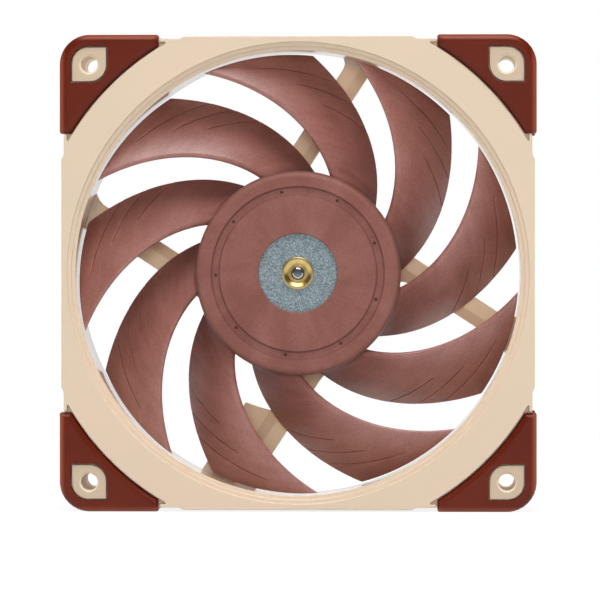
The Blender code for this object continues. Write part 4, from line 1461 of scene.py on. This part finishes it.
@dataclass
class ImpellerMoulding:
    """Nine swept blades round a hub, as one moulding."""

    blades: int = 9
    hub_radius: float = 0.02575
    hub_top: float = 0.0008
    hub_wall: float = 0.0012
    rim_round: float = 0.0018
    ring_width: float = 0.0039
    channel_width: float = 0.00215
    channel_depth: float = 0.00060
    channel_slope: float = 0.00038
    channel_round: float = 0.00012
    eye_radius: float = 0.0099
    eye_round: float = 0.00028
    inside_round: float = 0.0004
    pits: HubPits = HubPits()
    lead_angles: tuple[float, float, float] = (31.3, 53.9, 75.2)
    trail_angles: tuple[float, float, float] = (2.0, 26.0, 46.7)
    front_setback: tuple[float, float] = (0.0034, 0.0021)
    trail_height: float = -0.0058
    thickness: tuple[float, float] = (0.0024, 0.0016)
    trail_thickness: float = 0.0006
    camber: float = 0.048
    root_fillet: float = 0.0009
    root_flare: float = 0.0012
    tip_round: float = 0.0003
    tip_least: float = 0.65
    nose_length: float = 0.0016
    root_ends: tuple[float, float] = (3.0, 0.2)
    front_steps: int = 48
    back_steps: int = 16
    nose_crowding: float = 1.8
    settle_passes: int = 3
    root_steps: tuple[float, ...] = (0.3, 0.7, 1.2, 1.9, 2.8, 4.0, 5.5, 7.0, 8.5, 10.0, 11.5, 12.8)
    channel_steps: tuple[float, ...] = (
        -0.5, -0.3, -0.2, -0.1, 0.0, 0.1, 0.2, 0.35, 0.6, 1.0, 1.5, 2.1, 2.7, 3.3
    )
    tip_steps: tuple[float, ...] = (2.4, 1.6, 1.0, 0.6, 0.3, 0.15, 0.05, 0.0)
    channels: tuple[FlowChannel, ...] = (
        FlowChannel(point_angle=14.4, point_radius=0.0432, inner_radius=0.0398, outer_radius=0.0433),
        FlowChannel(point_angle=16.2, point_radius=0.0480, inner_radius=0.0447, outer_radius=0.0482),
        FlowChannel(point_angle=19.6, point_radius=0.0528, inner_radius=0.0489, outer_radius=0.0530),
    )

    def hub(self) -> bpy.types.Mesh:
        """Cup with a rounded rim, a ring channel and the eye over the steel yoke."""
        top = SIZES.hub_face
        under = top - self.hub_top
        outer = self.hub_radius - self.ring_width
        inner = outer - self.channel_width
        floor = top - self.channel_depth
        bend = self.channel_round
        wall = self.hub_radius - self.hub_wall
        profile: list[Corner] = [
            (self.eye_radius, top, self.eye_round),
            (inner, top, bend),
            (inner + self.channel_slope, floor, bend),
            (outer - self.channel_slope, floor, bend),
            (outer, top, bend),
            (self.hub_radius, top, self.rim_round),
            (self.hub_radius, SIZES.hub_rear, SOFT),
            (wall, SIZES.hub_rear, SOFT),
            (wall, under, self.inside_round),
            (self.eye_radius, under, CRISP),
        ]
        pits = self.pits
        above = top + MILLIMETRE
        deep = floor - pits.depth
        shoulder = floor - pits.depth * pits.foot_share
        sides = [(pits.radius, above), (pits.radius, shoulder), (pits.radius * pits.foot_share, deep)]
        pit = disc_lathe([(0.0, above), *sides, (0.0, deep)], sides=24)
        pit.transform(turn(pits.angle) @ Matrix.Translation((pits.place, 0, 0)))
        cup = lathe(rounded(profile, steps=6), sides=216)
        return combined(cup, patterned(pit, pits.count), Cut.DIFFERENCE)

    @staticmethod
    def through(share: float, values: tuple[float, float, float]) -> float:
        """Smooth value along a blade that meets its hub, mid-span and tip values."""
        root, middle, tip = values
        bow = middle * 4 * share * (1 - share)
        return root * (1 - share) * (1 - 2 * share) + bow + tip * share * (2 * share - 1)

    def share(self, radius: float) -> float:
        """Part of the way from the hub to a blade's tip."""
        return (radius - self.hub_radius) / (SIZES.tip_radius - self.hub_radius)

    def rings(self) -> list[float]:
        """Radii at the trailing edge of the lines that a blade is made of, close together at the channels."""
        root = self.hub_radius
        tip = SIZES.tip_radius
        rings = [root - self.hub_wall / 2, root]
        rings += [root + step * MILLIMETRE for step in self.root_steps]
        for channel in self.channels:
            rings += [channel.inner_radius + step * MILLIMETRE for step in self.channel_steps]
        rings += [tip - step * MILLIMETRE for step in self.tip_steps]
        return sorted(rings)

    def bent(self, ring: float, t: float) -> float:
        """Radius of a point on a line that runs along the flow channels.

        Args:
            ring: Radius of the line at the trailing edge.
            t: Part of the way from the leading to the trailing edge.

        Returns:
            The radius there.
        """
        knots = [(self.hub_radius, 0.0, self.channels[0].point_angle)]
        knots += [(c.inner_radius, c.point_radius - c.inner_radius, c.point_angle) for c in self.channels]
        knots += [(SIZES.tip_radius, 0.0, self.channels[-1].point_angle)]
        rise, reach = 0.0, 1.0
        for (low, low_rise, low_reach), (high, high_rise, high_reach) in zip(knots, knots[1:]):
            if low <= ring <= high:
                part = (ring - low) / (high - low)
                rise = blended((low_rise, high_rise), part)
                reach = blended((low_reach, high_reach), part)
        radius = ring
        for _ in range(self.settle_passes):
            radius = ring + rise * min(1.0, (1.0 - t) * self.spread(radius) / reach)
        return radius

    def spread(self, radius: float) -> float:
        """Angle between the leading and trailing edges."""
        share = self.share(radius)
        return self.through(share, self.lead_angles) - self.through(share, self.trail_angles)

    def spot(self, ring: float, t: float, sign: int) -> tuple[float, float, float]:
        """Point on a blade.

        Args:
            ring: Radius, at the trailing edge, of the line that the point is on.
            t: Part of the way from the leading to the trailing edge.
            sign: 1 for the front of the blade and -1 for its back.

        Returns:
            The point.
        """
        radius = self.bent(ring, t)
        share = self.share(radius)
        setback = blended(self.front_setback, share)
        lead = Vector((radius * math.radians(self.through(share, self.lead_angles)), SIZES.face - setback))
        trail = Vector((radius * math.radians(self.through(share, self.trail_angles)), self.trail_height))
        chord = trail - lead
        normal = Vector((chord.y, -chord.x)).normalized()
        thick = blended(self.thickness, share)
        fillet = self.root_flare * math.exp(-max(radius - self.hub_radius, 0.0) / self.root_fillet)
        tip_share = max((SIZES.tip_radius - radius) / self.tip_round, 0.0)
        ease = self.tip_least + (1.0 - self.tip_least) * math.sqrt(min(tip_share, 1.0))
        nose = min(t * chord.length / self.nose_length, 1.0)
        half = (thick + (self.trail_thickness - thick) * t) / 2 * math.sqrt(nose * (2.0 - nose)) * ease
        rate, least = self.root_ends
        half += fillet * min(1.0, rate * t, least + rate * (1 - t))
        if sign > 0:
            half -= sum(channel.sunk(ring, (1.0 - t) * self.spread(radius)) for channel in self.channels)
        bow = self.camber * chord.length * 4 * t * (1 - t)
        place = lead + chord * t + normal * (bow + half * sign)
        return (radius * math.cos(place.x / radius), radius * math.sin(place.x / radius), place.y)

    def section(self, ring: float) -> Ring:
        """Closed line round a blade, along its front to the trailing edge and back behind it."""
        front = [t**self.nose_crowding for t in spaced(0.0, 1.0, self.front_steps)]
        back = [t**self.nose_crowding for t in spaced(1.0, 0.0, self.back_steps)[:-1]]
        return [self.spot(ring, t, 1) for t in front] + [self.spot(ring, t, -1) for t in back]

    def build(self) -> bpy.types.Mesh:
        """Join the blades to the hub."""
        blade = loft([self.section(ring) for ring in self.rings()])
        return combined(self.hub(), patterned(blade, self.blades), Cut.UNION)

    def dress(self, finish: FilledPlastic) -> None:
        """Show the impeller in its finish."""
        show("impeller_moulding", self.build(), finish.material(), Body.ROTOR, "impeller")


@dataclass
class RotorCentre:
    """Steel yoke, brass bush and shaft that show in the eye of the hub."""

    gap: float = 0.0003
    yoke_wall: float = 0.0010
    yoke_bend: float = 0.0008
    bush_neck: float = 0.0029
    bush_flange: float = 0.00405
    bush_shoulder: float = 0.0046
    bush_rim: float = 0.00060
    cone_depth: float = 0.0008
    collar_radius: float = 0.0019
    collar_rise: float = 0.0002
    step_radius: float = 0.0025
    step_rise: float = 0.00018
    bore_radius: float = 0.0016
    shaft_chamfer: float = 0.0004
    chamfer_swell: tuple[float, float] = (0.25, 0.55)
    rim_inside: float = 0.00015
    shoulder_round: float = 0.0002
    collar_round: float = 0.00006
    foot_round: float = 0.00008
    fine_round: float = 0.00005

    def yoke(self) -> bpy.types.Mesh:
        """Drawn steel cup with the hole for its bush."""
        low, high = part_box("rotor_yoke")
        radius = high.z
        top = -low.y
        rear = -high.y
        hole = self.bush_neck + self.gap
        inner = radius - self.yoke_wall
        under = top - self.yoke_wall
        profile: list[Corner] = [
            (hole, top, CRISP),
            (radius, top, self.yoke_bend),
            (radius, rear, self.shoulder_round),
            (inner, rear, self.shoulder_round),
            (inner, under, SOFT),
            (hole, under, CRISP),
        ]
        return lathe(rounded(profile, steps=6), sides=144)

    def bush(self) -> bpy.types.Mesh:
        """Turned bush: a countersunk front, a neck through the yoke and a shoulder behind it."""
        low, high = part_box("shaft_bush")
        yoke_top = -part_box("rotor_yoke")[0].y
        face = -low.y
        rear = -high.y
        seat = yoke_top + self.gap
        back = yoke_top - self.yoke_wall - self.gap
        foot = face - self.cone_depth
        collar = foot + self.collar_rise
        profile: list[Corner] = [
            (self.bush_flange - self.bush_rim, face, self.rim_inside),
            (self.bush_flange, face, SOFT),
            (self.bush_flange, seat, self.fine_round),
            (self.bush_neck, seat, 0.0),
            (self.bush_neck, back, 0.0),
            (self.bush_shoulder, back, self.shoulder_round),
            (self.bush_shoulder, rear, self.shoulder_round),
            (self.bore_radius, rear, CRISP),
            (self.bore_radius, foot, 0.0),
            (self.collar_radius - self.collar_rise, collar, self.collar_round),
            (self.collar_radius, collar, self.collar_round),
            (self.collar_radius + self.collar_rise, foot, self.foot_round),
            (self.step_radius, foot, self.fine_round),
            (self.step_radius + self.step_rise / 4, foot + self.step_rise, self.fine_round),
        ]
        return lathe(rounded(profile, steps=5), sides=96)

    def shaft(self) -> bpy.types.Mesh:
        """Ground shaft with chamfered ends."""
        low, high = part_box("shaft")
        radius = high.z
        front = -low.y
        rear = -high.y
        cut = self.shaft_chamfer
        across, down = [share * cut for share in self.chamfer_swell]
        profile = [(0.0, front), (radius - cut, front), (radius - across, front - down)]
        profile += [(radius, front - cut), (radius, rear + cut), (radius - cut, rear), (0.0, rear)]
        return disc_lathe(profile, sides=64)

    def dress(self, sheet: GalvanisedSheet, brass: TurnedMetal, steel: TurnedMetal) -> None:
        """Show the three pieces in their finishes."""
        show("yoke_cup", self.yoke(), sheet.material(), Body.ROTOR, "rotor_yoke")
        show("turned_bush", self.bush(), brass.material(), Body.ROTOR, "shaft_bush")
        show("ground_shaft", self.shaft(), steel.material(), Body.ROTOR, "shaft")


@dataclass
class MotorInside:
    """Pieces inside the motor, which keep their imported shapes."""

    copper: PlainFinish = PlainFinish(
        "enamelled_wire",
        srgb(150, 74, 34),
        srgb(196, 112, 62),
        roughness=0.30,
        metallic=0.9,
        grain=(300.0, 5200.0, 300.0),
        grain_depth=0.00006,
    )
    laminations: PlainFinish = PlainFinish(
        "stacked_laminations",
        srgb(96, 96, 100),
        srgb(140, 140, 143),
        roughness=0.42,
        metallic=0.9,
        grain=(200.0, 4200.0, 200.0),
        grain_depth=0.00005,
    )
    nylon: PlainFinish = PlainFinish("moulded_nylon", srgb(218, 215, 204), srgb(228, 226, 218), 0.5)
    ferrite: PlainFinish = PlainFinish("bonded_ferrite", srgb(46, 44, 44), srgb(66, 63, 62), 0.7)
    brass: PlainFinish = PlainFinish("drawn_brass", srgb(204, 170, 98), srgb(222, 192, 124), 0.28, 1.0)
    bronze: PlainFinish = PlainFinish("sintered_bronze", srgb(132, 96, 58), srgb(166, 126, 84), 0.55, 0.8)
    resin: PlainFinish = PlainFinish("black_resin", srgb(30, 30, 32), srgb(44, 44, 46), 0.45)
    solder_mask: PlainFinish = PlainFinish("solder_mask", srgb(34, 80, 50), srgb(48, 100, 66), 0.35)
    ceramic: PlainFinish = PlainFinish("fired_ceramic", srgb(140, 104, 66), srgb(168, 130, 90), 0.5)
    tin: PlainFinish = PlainFinish("tinned_pin", srgb(176, 176, 174), srgb(206, 206, 204), 0.3, 1.0)

    def finishes(self) -> dict[PlainFinish, list[str]]:
        """Nodes of each finish."""
        return {
            self.copper: [f"coil_{i}" for i in range(1, 5)],
            self.laminations: ["stator_core"],
            self.nylon: ["front_insulator", "rear_insulator", "retaining_clip", "oil_slinger"],
            self.ferrite: ["magnet_ring"],
            self.brass: ["bearing_tube"],
            self.bronze: ["sleeve_bearing"],
            self.resin: ["thrust_pad", "driver_chip", "hall_sensor"],
            self.solder_mask: ["circuit_board"],
            self.ceramic: ["capacitor"],
            self.tin: [f"winding_pin_{i}" for i in range(1, 5)],
        }

    def dress(self) -> None:
        """Give each inner node its finish."""
        for finish, nodes in self.finishes().items():
            look = finish.material()
            for node in nodes:
                slots = frame["nodes"][node].data.materials
                slots.clear()
                slots.append(look)
            LOG.info("%s: %s", finish.name, ", ".join(nodes))


@dataclass(frozen=True)
class Lamp:
    """Round soft lamp, which polished surfaces may mirror or not."""

    name: str
    place: tuple[float, float, float]
    energy: float
    size: float
    mirrored: bool = True


@dataclass
class Studio:
    """Pale floor, soft light and the camera at the photograph's angle."""

    image_size: float = 600.0
    axis_across: float = 299.2
    axis_down: float = 273.1
    pixels_per_metre: float = 3982.0
    camera_distance: float = 1.15
    camera_azimuth: float = 1.8
    sensor: float = 36.0
    far_clip: float = 50.0
    floor_reach: float = 4.0
    floor_bounce: float = 0.50
    floor_shadow: float = 0.22
    floor_glow: float = 0.84
    fade: tuple[float, float] = (0.22, 0.60)
    room_strength: float = 0.16
    backdrop: tuple[float, float] = (0.8, 0.96)
    dim_share: float = 0.80
    lamps: tuple[Lamp, ...] = (
        Lamp("top", (0.05, -0.50, 1.08), energy=11.0, size=1.0),
        Lamp("left", (-1.20, -0.12, 0.15), energy=6.0, size=0.8, mirrored=False),
        Lamp("right", (1.20, -0.12, 0.15), energy=6.0, size=0.8, mirrored=False),
        Lamp("fill", (0.05, -1.80, 0.15), energy=13.2, size=0.6, mirrored=False),
        Lamp("rear", (-0.40, 1.70, 0.35), energy=16.0, size=0.6, mirrored=False),
    )

    def camera(self) -> None:
        """Camera on the fan's axis, turned a little to the right."""
        data = bpy.data.cameras.new("camera")
        data.sensor_width = self.sensor
        reach = self.camera_distance + SIZES.face
        data.lens = self.pixels_per_metre * self.camera_distance * self.sensor / self.image_size
        data.shift_x = (self.image_size / 2 - self.axis_across) / self.image_size
        data.shift_y = (self.axis_down - self.image_size / 2) / self.image_size
        data.clip_end = self.far_clip
        eye = linked("camera", data)
        swing = math.radians(self.camera_azimuth)
        eye.location = (reach * math.sin(swing), -reach * math.cos(swing), 0.0)
        eye.rotation_euler = (math.pi / 2, 0.0, swing)
        bpy.context.scene.camera = eye

    def world(self) -> None:
        """Soft light from all round, dimmer where it is mirrored, and white behind the fan."""
        world = bpy.data.worlds.new("studio")
        world.use_nodes = True
        bpy.context.scene.world = world
        graph = Graph(world.node_tree)
        heading = graph.node("ShaderNodeTexCoord", output="Generated")
        ahead = graph.parts(heading, "Y")[0]
        camera, glossy, clear = self.rays(graph)
        mirrored = glossy.larger(clear)
        room = self.room_strength * (1.0 - mirrored * self.dim_share)
        white = camera.larger(ahead.between(*self.backdrop))
        level = room + white * (1.0 - room)
        sky = graph.node("ShaderNodeBackground", inputs={"Color": WHITE, "Strength": level})
        graph.node("ShaderNodeOutputWorld", inputs={"Surface": sky})

    @staticmethod
    def rays(graph: Graph) -> list[Wire]:
        """Whether a ray comes from the camera, from a reflection or through something clear."""
        names = ("Is Camera Ray", "Is Glossy Ray", "Is Transmission Ray")
        return [graph.node("ShaderNodeLightPath", output=name) for name in names]

    def floor(self) -> None:
        """Pale floor under the pads, white to the camera but for a soft shadow."""
        low = CAD_BOX[0][2]
        reach = self.floor_reach
        corners = [(-reach, -reach, low), (reach, -reach, low), (reach, reach, low), (-reach, reach, low)]
        mesh = bpy.data.meshes.new("floor")
        mesh.from_pydata(corners, [], [(0, 1, 2, 3)])
        made, graph = material("pale_floor")
        matt = graph.node("ShaderNodeBsdfDiffuse", inputs={"Color": (self.floor_bounce,) * 3})
        faint = graph.node("ShaderNodeBsdfDiffuse", inputs={"Color": (self.floor_shadow,) * 3})
        glow = graph.node("ShaderNodeEmission", inputs={"Color": WHITE, "Strength": self.floor_glow})
        near = graph.node("ShaderNodeAddShader", inputs={0: faint, 1: glow})
        white = graph.node("ShaderNodeEmission", inputs={"Color": WHITE, "Strength": 1.0})
        away = graph.node("ShaderNodeVectorMath", {"operation": "LENGTH"}, {0: graph.place()}, output="Value")
        bright = graph.node("ShaderNodeMixShader", inputs={0: away.between(*self.fade), 1: near, 2: white})
        camera, glossy, clear = self.rays(graph)
        seen = camera.larger(glossy.larger(clear))
        surface = graph.node("ShaderNodeMixShader", inputs={0: seen, 1: matt, 2: bright})
        graph.node("ShaderNodeOutputMaterial", inputs={"Surface": surface})
        mesh.materials.append(made)
        plane = linked("floor", mesh)

    def hang(self, lamp: Lamp) -> None:
        """Hang a round soft lamp so that it shines at the fan."""
        data = bpy.data.lights.new(lamp.name, "AREA")
        data.energy = lamp.energy
        data.shape = "DISK"
        data.size = lamp.size
        hung = linked(lamp.name, data)
        hung.location = lamp.place
        hung.rotation_euler = (-Vector(lamp.place)).to_track_quat("-Z", "Y").to_euler()
        hung.visible_glossy = lamp.mirrored

    def set_up(self) -> None:
        """Set up the whole studio."""
        bpy.context.scene.view_settings.view_transform = "Standard"
        self.camera()
        self.world()
        self.floor()
        for lamp in self.lamps:
            self.hang(lamp)


def clear_lights_and_cameras() -> None:
    """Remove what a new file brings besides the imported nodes."""
    for thing in list(bpy.data.objects):
        if thing.type in {"LIGHT", "CAMERA"} or thing.name == "Cube":
            bpy.data.objects.remove(thing)


def main() -> None:
    """Build the studio and dress the fan, piece by piece."""
    logging.basicConfig(level=logging.INFO, format="%(name)s: %(message)s")
    clear_lights_and_cameras()
    Studio().set_up()
    corners = Corners()
    FrameMoulding(corners).dress(MouldedPlastic())
    CornerPads(corners).dress(Silicone())
    ImpellerMoulding().dress(FilledPlastic())
    RotorCentre().dress(
        GalvanisedSheet(),
        TurnedMetal(
            name="turned_brass",
            tone=srgb(214, 186, 118),
            pale=srgb(230, 206, 146),
            roughness=0.36,
            end_tone=srgb(214, 186, 118),
        ),
        TurnedMetal(
            name="ground_steel",
            tone=srgb(196, 194, 192),
            pale=srgb(218, 216, 212),
            roughness=0.22,
            end_tone=srgb(128, 134, 146),
            end_radius=0.00105,
        ),
    )
    MotorInside().dress()


if __name__ == "__main__":
    main()
